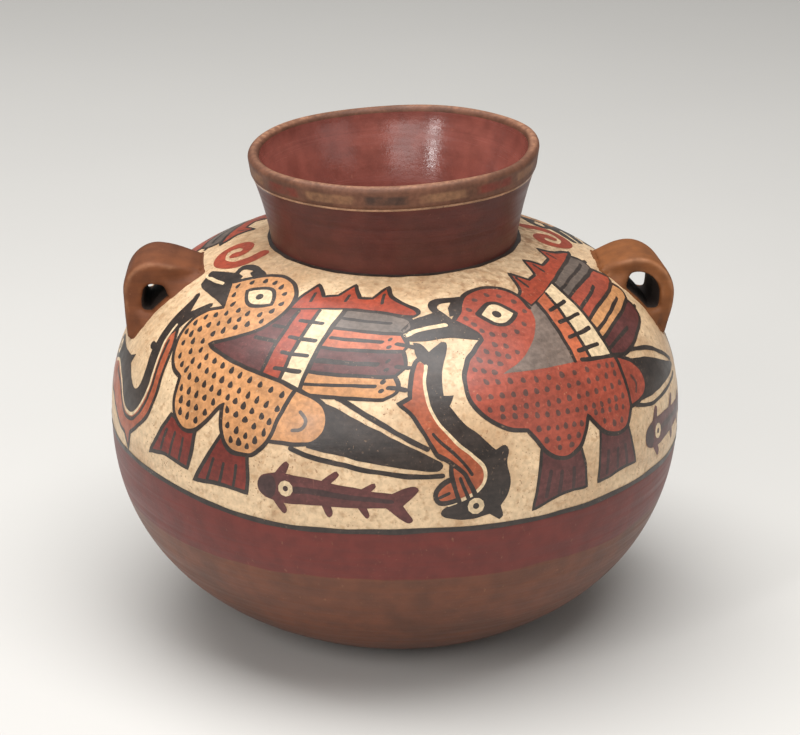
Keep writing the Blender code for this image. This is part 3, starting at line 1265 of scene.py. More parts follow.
@dataclass
class Mouth:
    """The flaring neck and the lip coil that finishes it."""

    root_radius: float = 0.0532
    root_height: float = 0.1732
    height: float = 0.0316
    flare: float = 0.0081
    hollow: float = 0.0008
    neck_wall: float = 0.0055
    lip_height: float = 0.0095
    lip_wall: float = 0.0048
    lip_flare: float = 0.0016
    lip_step: float = 0.0005
    lean: float = 0.038
    turns: int = 240
    outside: ClayFinish = ClayFinish("neck_slip", (89, 39, 31), (78, 35, 29), (140, 92, 70), 0.42, 0.09)
    inside: ClayFinish = ClayFinish("neck_inside_slip", (139, 77, 66), (122, 66, 57), (164, 100, 80),
                                    0.22, 0.03, 0.00005)
    band: LipFinish = LipFinish()
    line: PaintFinish = PaintFinish("lip_line_slip", (174, 136, 108), (110, 70, 58), 1.0, 0.25)

    def tipped(self, angle: np.ndarray, radius: np.ndarray, height: np.ndarray) -> np.ndarray:
        """Tips a ring of the mouth towards the right, and takes it a little out of round.

        Args:
            angle: Angles from the front.
            radius: The ring's radius at each angle.
            height: The ring's height at each angle.

        Returns:
            The ring's points.
        """
        full = self.height + self.lip_height
        share = np.clip((height - self.root_height) / full, 0.0, 1.0)
        uneven = 0.0004 * share * (np.sin(2.0 * angle + 1.1) + 0.6 * np.sin(3.0 * angle)
                                   + 0.4 * np.sin(7.0 * angle + 2.0))
        wide = radius + uneven
        x = wide * np.sin(angle)
        dip = 0.00035 * share * (np.sin(3.0 * angle + 2.0) + 0.7 * np.sin(5.0 * angle))
        return np.stack([x, -wide * np.cos(angle), height + self.lean * share * x + dip], axis=-1)

    def outer(self, share: float) -> tuple[float, float]:
        """A point of the neck's outer face."""
        bow = self.hollow * 4.0 * share * (1.0 - share)
        return self.root_radius + self.flare * share - bow, self.root_height + self.height * share

    def neck(self) -> Piece:
        """Builds the neck.

        Returns:
            The piece.
        """
        shares = np.linspace(0.0, 1.0, 22)
        outer = [(self.root_radius + 0.0004, self.root_height - 0.0015)]
        outer += [self.outer(float(s)) for s in shares]
        inner = []
        for s in shares[::-1]:
            radius, height = self.outer(float(s))
            inner.append((radius - self.neck_wall + (self.neck_wall - self.lip_wall) * float(s), height))
        inner.append((self.root_radius - self.neck_wall, self.root_height - 0.0060))
        parts = [0] * (len(outer) - 1) + [1] * len(inner)
        obj = turned("neck_collar", outer + inner, self.turns, self.tipped,
                     (Finishes.of(self.outside), Finishes.of(self.inside)), parts)
        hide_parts("neck")
        return obj

    def lip(self) -> Piece:
        """Builds the lip: a band that stands a little proud, with a rounded top.

        Returns:
            The piece.
        """
        radius, base = self.outer(1.0)
        half = self.lip_wall / 2.0
        top = base + self.lip_height - half
        middle = radius + self.lip_flare - half
        proud = self.lip_step
        outer = [(radius - 0.0006, base - 0.0006), (radius + 0.0001, base - 0.0002),
                 (radius + proud, base + 0.0004)]
        for t in np.linspace(0.15, 1.0, 8):
            out = radius + proud + (self.lip_flare - proud) * float(t)
            outer.append((out, base + (top - base) * float(t)))
        crown = [(middle + half * math.cos(a), top + half * math.sin(a))
                 for a in np.linspace(0.0, math.pi, 12)[1:]]
        steep = (self.flare + 4.0 * self.hollow) / self.height * (top - base)
        inner = []
        for t in np.linspace(0.0, 1.0, 8)[1:]:
            up = 1.0 - float(t)
            out = steep * up + (self.lip_flare - steep) * up * up
            inner.append((radius - self.lip_wall - 0.0002 * float(t) + out,
                          base - 0.0004 + (top - base + 0.0004) * up))
        parts = [0] * (len(outer) + len(crown) - 1) + [1] * len(inner)
        obj = turned("lip_coil", outer + crown + inner, self.turns, self.tipped,
                     (Finishes.of(self.band), Finishes.of(self.inside)), parts)
        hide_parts("lip")
        return obj

    def cream_line(self) -> Piece:
        """Builds the fine cream line under the lip.

        Returns:
            The piece.
        """
        rings = []
        for t, lift in ((0.958, 0.0), (0.961, 0.00018), (0.989, 0.00018), (0.992, 0.0)):
            radius, height = self.outer(t)
            rings.append((radius + lift, height))
        obj = turned("lip_line", rings, self.turns, self.tipped, (Finishes.of(self.line),))
        return obj


def handle_clay_with_painted_light(side: str, colour: Colour, cloud: Colour) -> ClayFinish:
    """The bare clay of one handle: the left handle's clay is darker than the right's as painted shade, and
    the ridges are lightened as rubbed wear and painted highlight.
    """
    return ClayFinish("handle_clay_" + side, colour, cloud, (176, 120, 84), 0.60, 0.08, sheen=0.25,
                      edges=(188, 136, 100))


@dataclass
class StrapHandle:
    """A flat strap, luted to the wall, with its clay smeared out round both feet."""

    wall: Wall
    side: Side
    reach: float
    thickness: float
    crown: float
    top: float
    width: float
    corner_fill: float
    foot_fill: float
    root_radius: float
    root_drop: float
    root_taper: float
    corner: float
    smear_half_width: float
    smear_middle: float
    smear_half_height: float
    clay: ClayFinish
    foot_height: float
    foot_tuck: float
    roundness: float = 6.0
    edge_softness: float = 0.14
    twist: float = 4.2
    foot_scale: float = 1.14
    voxel: float = 0.0007
    sides: int = 28
    smear_steps: int = 72
    smear_power: float = 3.6
    smear_edge: float = 0.0016
    smear_sheet: float = 0.00034
    fillet: float = 0.0016
    fillet_reach: float = 0.0050
    smear_depth: float = 0.0030
    smear_margin: float = 1.25
    web_edge: float = 0.0025
    relax_rounds: int = 13
    crisp_from: float = 0.0045
    crisp_over: float = 0.0060
    # painted shade: a near-black clay laid inside the handle's loop, where the shade falls
    shade_clay: ClayFinish = ClayFinish("loop_painted_shade", (44, 30, 23), (34, 25, 20), (70, 48, 36), 0.75, 0.06)

    @property
    def angle(self) -> float:
        """The handle's angle from the front."""
        return self.side.value * math.pi / 2.0

    def route(self) -> np.ndarray:
        """Draws the strap's middle line.

        Returns:
            The radius, height, widening and thickness at each of its points.
        """
        middle = self.reach - self.thickness / 2.0
        top = self.top - self.crown / 2.0
        bend = self.corner * (1.0 - math.sqrt(0.5))
        stops = ((self.root_radius, top - self.root_drop), (middle - self.corner, top),
                 (middle - bend, top - bend), (middle, top - self.corner),
                 (middle - self.foot_tuck, self.foot_height))
        line = smooth([(r / MM, z / MM) for r, z in stops], False, 1.2) * MM
        share = np.linspace(0.0, 1.0, len(line))
        root = np.clip(1.0 - share / 0.36, 0.0, 1.0)
        foot = np.clip((share - 0.74) / 0.26, 0.0, 1.0)
        size = 1.0 + (self.foot_scale - 1.0) * foot ** 2 - self.root_taper * root ** 1.6
        fall = np.clip((share - 0.30) / 0.35, 0.0, 1.0)
        deep = self.crown + (self.thickness - self.crown) * fall * fall * (3.0 - 2.0 * fall)
        return np.column_stack([line, size, deep])

    def strap(self) -> tuple[list, list]:
        """Builds the strap.

        Returns:
            Its points and faces.
        """
        route = self.route()
        along = np.gradient(route[:, :2], axis=0)
        along /= np.linalg.norm(along, axis=1, keepdims=True)
        sides = self.sides
        power = 2.0 / self.roundness
        points: list[tuple[float, float, float]] = []
        for i, ((radius, height, size, thick), (run, climb)) in enumerate(zip(route, along)):
            uneven = 1.0 + 0.05 * math.sin(0.21 * i + self.side.value)
            for k in range(sides):
                a = 2.0 * math.pi * k / sides
                level, tall = (math.copysign(abs(c) ** power, c) for c in (math.cos(a), math.sin(a)))
                wide = level * self.width / 2.0 * size * uneven
                deep = tall * thick / 2.0
                out = radius - climb * deep - wide * math.tan(math.radians(self.twist))
                points.append((self.side.value * out, wide, height + run * deep))
        faces = []
        for i in range(len(route) - 1):
            for k in range(sides):
                n = (k + 1) % sides
                faces.append([i * sides + k, i * sides + n, (i + 1) * sides + n, (i + 1) * sides + k])
        faces.append(list(range(sides))[::-1])
        faces.append([(len(route) - 1) * sides + k for k in range(sides)])
        return points, faces

    def smear_lift(self, around: np.ndarray, arc: np.ndarray) -> np.ndarray:
        """Measures the smeared clay.

        Args:
            around: Places round the jar from the handle's middle, in metres.
            arc: Places up the wall.

        Returns:
            How far it stands off the wall, below zero where there is none.
        """
        ragged = np.array([noise.noise(Vector((u * 90.0, v * 90.0, 4.0 * self.side.value)))
                           + 0.5 * noise.noise(Vector((u * 260.0, v * 260.0, 8.0)))
                           for u, v in zip(around, arc)])
        rise = np.clip((arc - self.smear_middle) / self.smear_half_height, 0.0, 1.0)
        narrow = 1.0 - self.root_taper * rise
        off_side = np.abs(around) / (self.smear_half_width * narrow)
        off_level = np.abs(arc - self.smear_middle) / self.smear_half_height
        away = off_side ** self.smear_power + off_level ** self.smear_power
        sheet = np.clip((1.0 + 0.16 * ragged - away) * self.smear_edge, -0.0010, self.smear_sheet)
        wide = np.maximum(0.0, np.abs(around) - self.width * 0.50 * narrow)
        for arc_of_foot, outward in zip(self.feet(), (1.0, -1.0)):
            past = (arc - arc_of_foot) * outward
            tall = np.maximum(0.0, past - self.thickness * 0.5) + np.maximum(0.0, -past) * 2.5
            sheet = sheet + self.fillet * np.exp(-((np.hypot(wide, tall) / self.fillet_reach) ** 2))
        into = self.feet()[0] - arc
        web = np.minimum((self.corner_fill - into) * 3.0, into * 0.75 + 0.0015)
        web = np.where(into > 0.0, np.clip(web, 0.0, None), 0.0)
        below = arc - self.feet()[1]
        toe = np.minimum((self.foot_fill - below) * 1.2, below + 0.002)
        toe = np.where(below > 0.0, np.clip(toe, 0.0, None), 0.0)
        return sheet + np.maximum(web, toe) * np.exp(-((wide / self.web_edge) ** 2))

    def feet(self) -> tuple[float, float]:
        """Finds where the strap's two ends meet the wall.

        Returns:
            How far up the wall the root and the foot lie.
        """
        places = []
        route = self.route()[:, :2]
        arcs, radii, heights = self.wall.table
        for order in (route, route[::-1]):
            for radius, height in order:
                if radius > np.interp(height, heights, radii) or height > heights[-1]:
                    break
            gap = (radii - radius) ** 2 + (heights - height) ** 2
            places.append(float(arcs[int(np.argmin(gap))]))
        return places[0], places[1]

    def smear(self, start: int) -> tuple[list, list]:
        """Builds the smeared clay, a thin slab on the wall.

        Args:
            start: The number of points before its own.

        Returns:
            Its points and faces.
        """
        columns = rows = self.smear_steps
        reach_u = self.smear_half_width * self.smear_margin
        reach_v = self.smear_half_height * self.smear_margin
        u, v = np.meshgrid(np.linspace(-reach_u, reach_u, columns),
                           self.smear_middle + np.linspace(-reach_v, reach_v, rows))
        u, v = u.ravel(), v.ravel()
        radius, _ = self.wall.across(v)
        angle = self.angle + u / radius
        top = self.wall.point(angle, v, self.smear_lift(u, v))
        bottom = self.wall.point(angle, v, -self.smear_depth)
        count = len(u)
        faces = []
        for i in range(rows - 1):
            for k in range(columns - 1):
                a = start + i * columns + k
                b = a + columns
                faces.append([a, a + 1, b + 1, b])
                faces.append([count + b, count + b + 1, count + a + 1, count + a])
        rim = list(range(columns)) + [i * columns + columns - 1 for i in range(1, rows)]
        rim += [count - 1 - k for k in range(1, columns)] + [i * columns for i in range(rows - 2, 0, -1)]
        for a, b in zip(rim, rim[1:] + rim[:1]):
            faces.append([start + b, start + a, start + count + a, start + count + b])
        return top.tolist() + bottom.tolist(), faces

    def build(self) -> Piece:
        """Builds the strap and its smeared feet as one skin.

        Returns:
            The piece.
        """
        word = self.side.name.lower()
        points, faces = self.strap()
        more_points, more_faces = self.smear(len(points))
        mesh = bpy.data.meshes.new("strap_draft")
        mesh.from_pydata(points + more_points, [], faces + more_faces)
        draft = bpy.data.objects.new("strap_draft", mesh)
        bpy.context.scene.collection.objects.link(draft)
        skin = draft.modifiers.new("skin", "REMESH")
        skin.mode = "VOXEL"
        skin.voxel_size = self.voxel
        bpy.context.view_layer.update()
        graph = bpy.context.evaluated_depsgraph_get()
        done = bpy.data.meshes.new_from_object(draft.evaluated_get(graph))
        bpy.data.objects.remove(draft)
        self.relax(done)
        self.press(done)
        done.materials.clear()
        done.materials.append(Finishes.of(self.clay))
        # second finish: the painted shade inside the loop
        done.materials.append(Finishes.of(self.shade_clay))
        self.paint_shade_in_loop(done)
        obj = settle("strap_" + word, done)
        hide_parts("handle_" + word)
        return obj

    def relax(self, mesh: Mesh) -> None:
        """Smooths the skin, well near the wall and little along the strap, whose edges stay crisp.

        Args:
            mesh: The skin; it is also given the rubbed wear and painted highlight of its ridges.
        """
        count = len(mesh.vertices)
        flat = np.zeros(count * 3)
        mesh.vertices.foreach_get("co", flat)
        points = flat.reshape(-1, 3)
        ends = np.zeros(len(mesh.edges) * 2, dtype=np.int32)
        mesh.edges.foreach_get("vertices", ends)
        one, other = ends[0::2], ends[1::2]
        meeting = np.bincount(ends, minlength=count)[:, None]
        lift = self.wall.unroll(points)[2]
        crisp = (lift - self.crisp_from) / self.crisp_over
        share = 0.5 * np.clip(1.0 - crisp, self.edge_softness, 1.0)[:, None]

        def around(values: np.ndarray) -> np.ndarray:
            """The sum of each point's neighbours' values."""
            return np.bincount(one, values[other], count) + np.bincount(other, values[one], count)

        for _ in range(self.relax_rounds):
            total = np.stack([around(points[:, k]) for k in range(3)], axis=-1)
            points = points + share * (total / meeting - points)
        mesh.vertices.foreach_set("co", points.ravel())
        mesh.update()
        mesh.vertices.foreach_get("normal", flat)
        bulge = np.sum((points - total / meeting) * flat.reshape(-1, 3), axis=1)
        # convex ridges of the strap: rubbed wear and a painted highlight
        worn = np.clip((bulge - 0.00002) / 0.00006, 0.0, 1.0) * (lift > 0.003)
        for _ in range(2):
            worn = 0.4 * worn + 0.6 * around(worn) / meeting[:, 0]
        wear = mesh.attributes.new(EDGE_WEAR_AND_HIGHLIGHT, "FLOAT", "POINT")
        wear.data.foreach_set("value", worn.astype(np.float32))

    def paint_shade_in_loop(self, mesh: Mesh) -> None:
        """Paints shade into the loop: the strap's underside and the wall under it get the near-black clay,
        as painted shade.

        Args:
            mesh: The skin.
        """
        root, foot = self.feet()
        points = np.array([tuple(face.center) for face in mesh.polygons])
        normals = np.array([tuple(face.normal) for face in mesh.polygons])
        angle, arc, lift = self.wall.unroll(points)
        turn = np.angle(np.exp(1j * (angle - self.angle)))
        within = np.abs(turn) * np.hypot(points[:, 0], points[:, 1]) < self.width * 0.46
        between = (arc > foot + self.foot_fill * 0.3) & (arc < root - self.corner_fill * 0.9)
        to_wall = normals[:, 0] * self.side.value + normals[:, 2]
        under = (lift > 0.0015) & (to_wall < -0.4) & (np.abs(normals[:, 1]) < 0.5)
        low = lift < np.where(np.abs(normals[:, 1]) < 0.7, 0.0070, 0.0015)
        # the faces that get the painted shade: under the strap, and the wall within the loop
        shaded_faces = within & between & (under | low)
        mesh.polygons.foreach_set("material_index", shaded_faces.astype(np.int32))

    def press(self, mesh: Mesh) -> None:
        """Presses the thin edge of the smeared clay down to its exact thickness on the wall.

        Args:
            mesh: The skin.
        """
        flat = np.zeros(len(mesh.vertices) * 3)
        mesh.vertices.foreach_get("co", flat)
        points = flat.reshape(-1, 3)
        angle, arc, lift = self.wall.unroll(points)
        turn = np.angle(np.exp(1j * (angle - self.angle)))
        radius, _ = self.wall.across(arc)
        around = turn * radius
        wanted = self.smear_lift(around, arc)
        thin = (np.abs(lift) < 0.0011) & (wanted < 0.0007)
        points[thin] = self.wall.point(angle[thin], arc[thin], wanted[thin])
        mesh.vertices.foreach_set("co", points.ravel())
        mesh.update()


class Frieze:
    """The painted frieze: two birds, the fish that they hold, small fish between, and spirals."""

    def __init__(self, wall: Wall) -> None:
        """Draws every figure once.

        Args:
            wall: The wall that it is painted on.
        """
        self.wall = wall
        self.figures: tuple[tuple[Figure, float, float], ...] = (
            (self.hanging_fish_left(), -60.0, 0.00010),
            (self.hanging_fish_middle(), 15.0, 0.00013),
            (self.small_fish(), -2.0, 0.00010),
            (self.small_fish(), 82.6, 0.00010),
            (self.spiral(), -70.0, 0.00010),
            (self.ochre_bird(), -35.0, 0.00012),
            (self.red_bird(), 35.0, 0.00012),
        )

    def build(self) -> list[Piece]:
        """Lays every figure on the front half and again on the back half.

        Returns:
            The painted pieces.
        """
        made = []
        for number, (figure, degrees, lift) in enumerate(self.figures):
            for half, turn in (("front", 0.0), ("back", BACK_TURN)):
                name = f"{figure.name}_{number}_{half}"
                obj = figure.lay(self.wall, degrees + turn - VIEW_TURN, lift, name)
                made.append(obj)
        return made

    @staticmethod
    def spiral() -> Figure:
        """Draws a dark red spiral that hangs from the neck beside each handle.

        Returns:
            The figure.
        """
        return Figure("spiral", [
            Line(Slip.CREST_RED, 4.6, (-11.2, 106.3), (-9.8, 110), (-13, 113), (-18, 111.5), (-20, 107),
                 (-18.5, 101.8), (-10.7, 99.1), (-3.5, 102), (-0.4, 107), (0.2, 112), (-0.5, 117),
                 last_width=6.2),
        ])

    @staticmethod
    def small_fish() -> Figure:
        """Draws a small maroon fish that swims under the birds.

        Returns:
            The figure.
        """
        return Figure("small_fish", [
            Area(Slip.MAROON, (-53.3, 15.9), (-52.5, 18.4), (-50.4, 20.4), K(-45, 22.2), (-42.6, 25.6),
                 (-40.4, 27.4), (-39.1, 26.4), K(-40.6, 22.3), (-31, 21.7), K(-25.4, 21.2), (-21.5, 24.2),
                 (-18.9, 25.5), (-18, 24.2), K(-21.3, 20.5), K(-8.9, 18.7), (-5.7, 20.7), (-3.3, 21.4),
                 (-2.9, 20), K(-5, 17.9), K(3.4, 17.1), (8.9, 19.3), (12.9, 19.9), (14.3, 18.3),
                 K(8.1, 11.8), (10.6, 7.9), (11.9, 5.4), (10.5, 4.1), (8.7, 4.8), K(0.9, 10.9),
                 K(-6.5, 10.6), (-5.5, 7.6), (-6.6, 6.2), (-8, 7.4), K(-10.3, 10.5), K(-21.3, 10.3),
                 (-20.8, 7.3), (-22.1, 5.6), (-23.6, 6.8), K(-25.3, 10.5), K(-41.4, 9.6), (-40, 6.9),
                 (-41, 5), (-42.8, 6.2), K(-46, 10.4), (-49.8, 11.1), (-52.3, 12.9)),
            Area(Slip.DEEP_MAROON, (-53.1, 16), (-52.3, 18.2), (-50.3, 20), (-47, 21), (-45.2, 18.6),
                 (-45.2, 14), (-47, 11), (-49.8, 11.5), (-52.1, 13)),
            Line(Slip.DEEP_MAROON, 3.0, (-36.3, 15.9), (-26.7, 16), (-15.3, 15.1), (3.4, 13.9),
                 last_width=1.6),
            Dots(Slip.CREAM, 6.6, 6.6, ((-40.6, 16),)),
            Dots(Slip.DEEP_MAROON, 2.4, 2.4, ((-40.6, 16),)),
        ])

    @staticmethod
    def hanging_fish_left() -> Figure:
        """Draws the fish that hangs from the ochre bird's beak, bent towards the left handle.

        Returns:
            The figure.
        """
        belly = (
            (2, 61), (4.6, 55), (6.2, 47.7), (7.7, 40), (7.3, 33.1), (3.8, 25.8), (-3.1, 19.6),
            K(-9.2, 15.2), K(-11.5, 7.1), K(-16.2, 12.7), (-23.1, 13.8), (-32.3, 18), (-40.3, 21.5),
            (-50, 22.5), (-56, 27))
        seam = (
            (-1, 32.3), (-5, 26.5), (-11.2, 22.9), (-17.3, 23.3), (-23.1, 26.9), (-28.5, 31.3), (-40, 35.5))
        return Figure("hanging_fish_left", [
            Area(Slip.FISH_RED, K(-3, 67), *belly, (-57, 32), K(-51, 34), (-40, 35.5), (-28.5, 31.3),
                 (-20.4, 24.8), (-11.2, 22.9), (-2.7, 29.2), (0.6, 38.5), (-1.3, 49.2), (-4.6, 60)),
            Area(Slip.BLACK, K(-11.3, 84.8), K(-4.7, 75), K(3.7, 84), (1, 76), K(-1.8, 66.5), (-4.4, 60),
                 (-3, 55), (-0.9, 49.2), (0.9, 41.5), (0.6, 36), *seam, K(-51, 33.5), (-56, 33), (-58, 38),
                 (-55, 43.5), (-45, 43.5), (-36, 43.2), K(-27.7, 43.8), K(-22.1, 45.8), K(-23.8, 41.2),
                 (-16.9, 36.5), (-10.8, 34.2), (-7.1, 38.1), (-7.3, 44.6), (-9.6, 52.1), (-10, 56.5),
                 (-11, 66), (-10.7, 77)),
            ink(3.4, (-8, 54.4), (-12, 54.4)),
            ink(3.2, (-5.5, 75), (-7.2, 78), (-10.4, 82.8)),
            ink(3.2, (-2.6, 74), (0.7, 79.4), (3, 82.4)),
            ink(1.8, (-3, 67), *belly, (-57, 33)),
            ink(1.6, (-2.2, 60), (0.6, 49.2), (2.6, 40), (1.6, 32.5), (-3.6, 25), (-11, 20.8),
                (-18.5, 21.4), (-27, 28), (-33, 31), (-41, 33)),
            Line(Slip.CREAM, 1.3, (-4.9, 67.5), (-4.6, 60), (-2.5, 53.1), (-0.2, 45.4), (0.6, 38.5), *seam,
                 (-46, 35), (-51, 33)),
            Dots(Slip.CREAM, 6.0, 6.0, ((-52.5, 38.6),)),
            Dots(Slip.BLACK, 2.4, 2.4, ((-52.5, 38.6),)),
        ])

    @staticmethod
    def hanging_fish_middle() -> Figure:
        """Draws the fish that hangs from the red bird's beak, in front.

        Returns:
            The figure.
        """
        belly = (
            (-17.5, 71.7), (-19.3, 68.4), (-21.9, 60.6), K(-22.7, 56), K(-27.8, 53.4), (-23.3, 49.1),
            (-19.6, 42.1), K(-16.5, 36.1), (-14.1, 31.7))
        seam = ((-4.4, 13.6), (0.7, 16.1), (4.6, 20.2), (4.4, 25.8), (0, 31), (-7, 37.6), (-12.6, 45))
        return Figure("hanging_fish_middle", [
            Area(Slip.FISH_RED, K(-14.5, 71), *belly, (-9.5, 28), (-9.3, 22.4), (-14.4, 19.1),
                 (-15.9, 15.5), (-14.4, 12.6), (-7.8, 12.3), (0.7, 16.1), (5, 23.2), (0, 31), (-10, 41.3),
                 (-16.2, 56)),
            Area(Slip.BLACK, K(-16.4, 81), (-13.8, 80.4), K(-11.2, 76), K(-5.3, 80.4), (-3.2, 80),
                 (-4.1, 75.4), (-6.5, 70.5), (-8.2, 63.6), K(-9, 56.3), K(-4.9, 56.2), K(-7.4, 51.9),
                 (-2.6, 44.7), (3.7, 38.7), K(10, 32.4), (14.1, 33.7), (15.5, 31.5), (14.3, 26.9),
                 (15.7, 19.5), (14.6, 14), K(11.3, 8.9), (12.2, 4.3), K(10.6, 2.8), K(6.5, 6), (-1.5, 4.5),
                 (-10.4, 5.6), (-13.9, 8.2), (-10.4, 11.3), *seam, (-16.2, 55), (-15.8, 61.7),
                 K(-13.8, 69.7), (-16.7, 74)),
            Line(Slip.CREAM, 1.4, (-13.8, 69.7), (-15.8, 61.7), (-15.7, 52.4), *seam[::-1], (-10.7, 11.5)),
            ink(1.8, (-15.5, 73), *belly, (-10.7, 30.2)),
            ink(2.0, (-9.3, 22.4), (-11.9, 21), (-14.4, 19.1), (-15.9, 16.9), (-15.9, 14.7), (-14.4, 12.6),
                (-11.1, 12.4), (-7.8, 13.2)),
            ink(2.0, (-14.1, 32), (-9.3, 29.1), (-3.7, 23.9), (-1.9, 20.2), (1.2, 13)),
            ink(1.8, (-9.1, 28.4), (-9.3, 24.7), (-8.1, 18.7), (-6, 11.5)),
            ink(1.5, (-5.6, 22.4), (-4.4, 18.7), (-1.8, 11.8)),
            ink(1.5, (-15.4, 41), (-12.6, 37.3), (-4.8, 29.5), (-0.7, 23.6)),
            ink(1.3, (-14.1, 15), (-10.4, 16.5)),
            Dots(Slip.CREAM, 6.8, 6.8, ((0.7, 10),)),
            Dots(Slip.BLACK, 2.6, 2.6, ((0.7, 10),)),
        ])

    @staticmethod
    def ochre_bird() -> Figure:
        """Draws the ochre bird on the left, with its spotted body, barred wing, red crest and long tail.

        Returns:
            The figure.
        """
        body = (
            K(-35.4, 96.9), (-27.9, 103), (-23.2, 106.8), (-17.1, 110.3), (-10, 111.4), (-2.9, 108.4),
            (2.1, 101.9), (3.6, 94.5), (2.1, 88), (-2.1, 80.9), (-10, 74.8), (-20, 69.2), K(-23, 67.1),
            (-14.3, 64.6), (0, 62.3), (18.5, 59.4), K(26.8, 57.2), (24, 46), (21, 34.4), (15.5, 28),
            (9.5, 26.7), (3.5, 27.7), (-1.1, 33.5), K(-4, 44.6), (-8.8, 38.1), (-14.9, 31.5), (-21.5, 29.8),
            (-27.6, 32.7), (-31.1, 38.5), K(-31.8, 49.2), (-37.6, 51.5), (-41.7, 56.5), (-43.6, 64),
            (-42.1, 71.9), (-36.8, 79.5), K(-28.2, 84.6))
        rump = (
            K(26.8, 57.2), (35, 54.5), (40, 52), (43.5, 48), (44.6, 43.5), (43.5, 39.5), (40, 36),
            (35, 34.8), K(21, 34.4))
        crest = (
            K(3.7, 94.2), (4.2, 100.9), K(7.1, 111.9), (11.5, 107.3), K(14, 104.6), K(19.2, 106.5),
            K(21.7, 114.4), (26.2, 109), K(28.7, 106.1), K(33.8, 106.1), K(35.6, 114), (42.3, 106.7),
            (50.6, 101.6), (55.8, 99.2), (58.4, 96.4), K(57, 94.9), (46.2, 96.5), (34.6, 98.3),
            (23.1, 97.8), (11.5, 95.5))
        eye = (
            K(-23, 97.1), (-18.9, 100), (-13.6, 102.3), (-10.4, 101.9), (-7.5, 98.7), K(-5.4, 94.1),
            (-10, 91.9), (-14.3, 90.5), (-17.9, 91.6), (-20.7, 94.1))
        foot_one = (K(-31, 33.5), K(-44, 14), (-33, 15.8), K(-18, 14.2), (-16, 22), K(-15.2, 31))
        foot_two = (K(-1.5, 32), K(-13.5, 10.5), (1, 12), K(13.5, 11), (14, 18), K(12.5, 28))
        marks: list[Mark] = [
            Area(Slip.BLACK, K(40, 52.5), K(45.7, 51), (66.8, 42.1), (91.5, 30.8), (94.9, 28.1), (92.7, 26),
                 (80.4, 27.1), (64.8, 29.6), (52.9, 31.7), K(38, 34)),
            ink(2.0, (45, 55), (47, 54.5), (66.2, 45.2), (76.8, 40), (87.3, 35)),
            ink(2.0, (31.5, 33), (40, 30.5), (55, 28.2), (72.8, 25.2), (84.4, 24), (95.2, 24)),
        ]
        for foot in (foot_one, foot_two):
            marks += edged(Slip.FOOT_RED, 1.8, foot)
        toes = (
            ((-32.5, 26.5), (-35.5, 17.5)), ((-27, 27), (-29.5, 17)), ((-21.5, 26), (-23, 16.5)),
            ((-3.5, 22), (-6.5, 12.5)), ((2, 21), (0, 12.5)), ((8, 21.5), (7, 12)))
        for start, end in toes:
            marks.append(ink(1.4, start, end))
        marks += [
            Area(Slip.OCHRE, *rump),
            ink(1.7, *rump),
            Line(Slip.GREY, 1.5, (32, 48), (35.5, 44.5), (34.5, 41), (31, 40)),
            Area(Slip.BLACK, K(-56, 92.5), (-50, 96.5), (-39, 101.8), K(-33, 102.5), K(-28.2, 84.6),
                 (-35, 86.1), (-45, 86.5), (-52, 86.6), K(-54.5, 87.5)),
            Line(Slip.CREAM, 1.6, (-56, 91.4), (-48, 92.7), (-40.2, 94.1)),
            ink(3.0, (-54.8, 93.4), (-46, 97)),
            ink(3.2, (-38, 101.8), (-38.3, 105), (-34.5, 108.3), (-29, 109.3), (-21, 107)),
            Area(Slip.BLACK, K(-30.8, 106), (-28.8, 109.6), (-23.1, 110), K(-20, 108), K(-21, 105),
                 (-28.7, 104.9)),
            Area(Slip.OCHRE, *body),
            *edged(Slip.CREST_RED, 1.6, crest),
            Area(Slip.MAROON, K(3.7, 94.2), K(8.7, 94.8), K(9, 61), K(-22, 67), *body[10:7:-1]),
            Area(Slip.CREST_RED, K(8.7, 94.8), K(17.3, 96.5), K(18.3, 59.7), K(9, 61)),
            Area(Slip.CREAM, K(17.3, 96.5), K(27, 98), K(28.3, 57.2), K(18.3, 59.4)),
        ]
        for slip, feather in (
            (Slip.GREY, (K(27.5, 98.3), (40.4, 97.7), K(53.8, 94.8), (57.5, 92.5), (60, 88.5), K(58, 85.3),
                         K(27.8, 87.3))),
            (Slip.ORANGE, (K(27.8, 87.3), K(57.7, 85.2), (60.8, 82.1), (62.9, 79.4), K(62.3, 76.7),
                           K(28, 76.8))),
            (Slip.MAROON, (K(28, 76.8), K(62.5, 76.5), (65, 73.2), (66.7, 69.4), K(64.6, 65), K(28.2, 65))),
            (Slip.OCHRE, (K(28.2, 65), K(64.6, 64.8), (67.3, 61.3), (67.6, 57.8), K(63.8, 55.2),
                          K(33.5, 55.2), K(28.3, 57.2))),
        ):
            marks += edged(slip, 1.6, feather)
        for width, *points in (
            (1.8, (-2, 76.5), (9, 76.5)), (1.8, (3, 84), (9, 84)), (1.8, (8.7, 94), (9, 61)),
            (1.8, (17.3, 95.7), (18.3, 59.7)), (2.0, (27, 97.7), (28.3, 57.6)),
            (1.9, (12.7, 89), (22.5, 89)), (1.9, (13, 79.8), (24.6, 79.8)),
            (1.9, (13.5, 72.1), (24.8, 72.1)), (1.9, (13.8, 64.6), (25, 64.6)),
            (1.5, (28.8, 93), (50, 91.1)), (1.8, (30, 82.1), (51.5, 81.3)), (2.2, (30, 70.5), (55, 70.5)),
            (1.6, (29.6, 59.6), (44.2, 60.5), (58.1, 60.7)), (1.8, (58, 80.5), (66.2, 78.6)),
            (1.8, (63, 69.8), (68.5, 69)), (1.8, (63.8, 60.3), (71.2, 59.2)),
            (1.3, (9, 105.9), (10.2, 100.5)), (1.3, (23.5, 107.1), (24.4, 103.2)),
            (1.3, (37.3, 109), (39.6, 102.8)),
        ):
            marks.append(ink(width, *points))
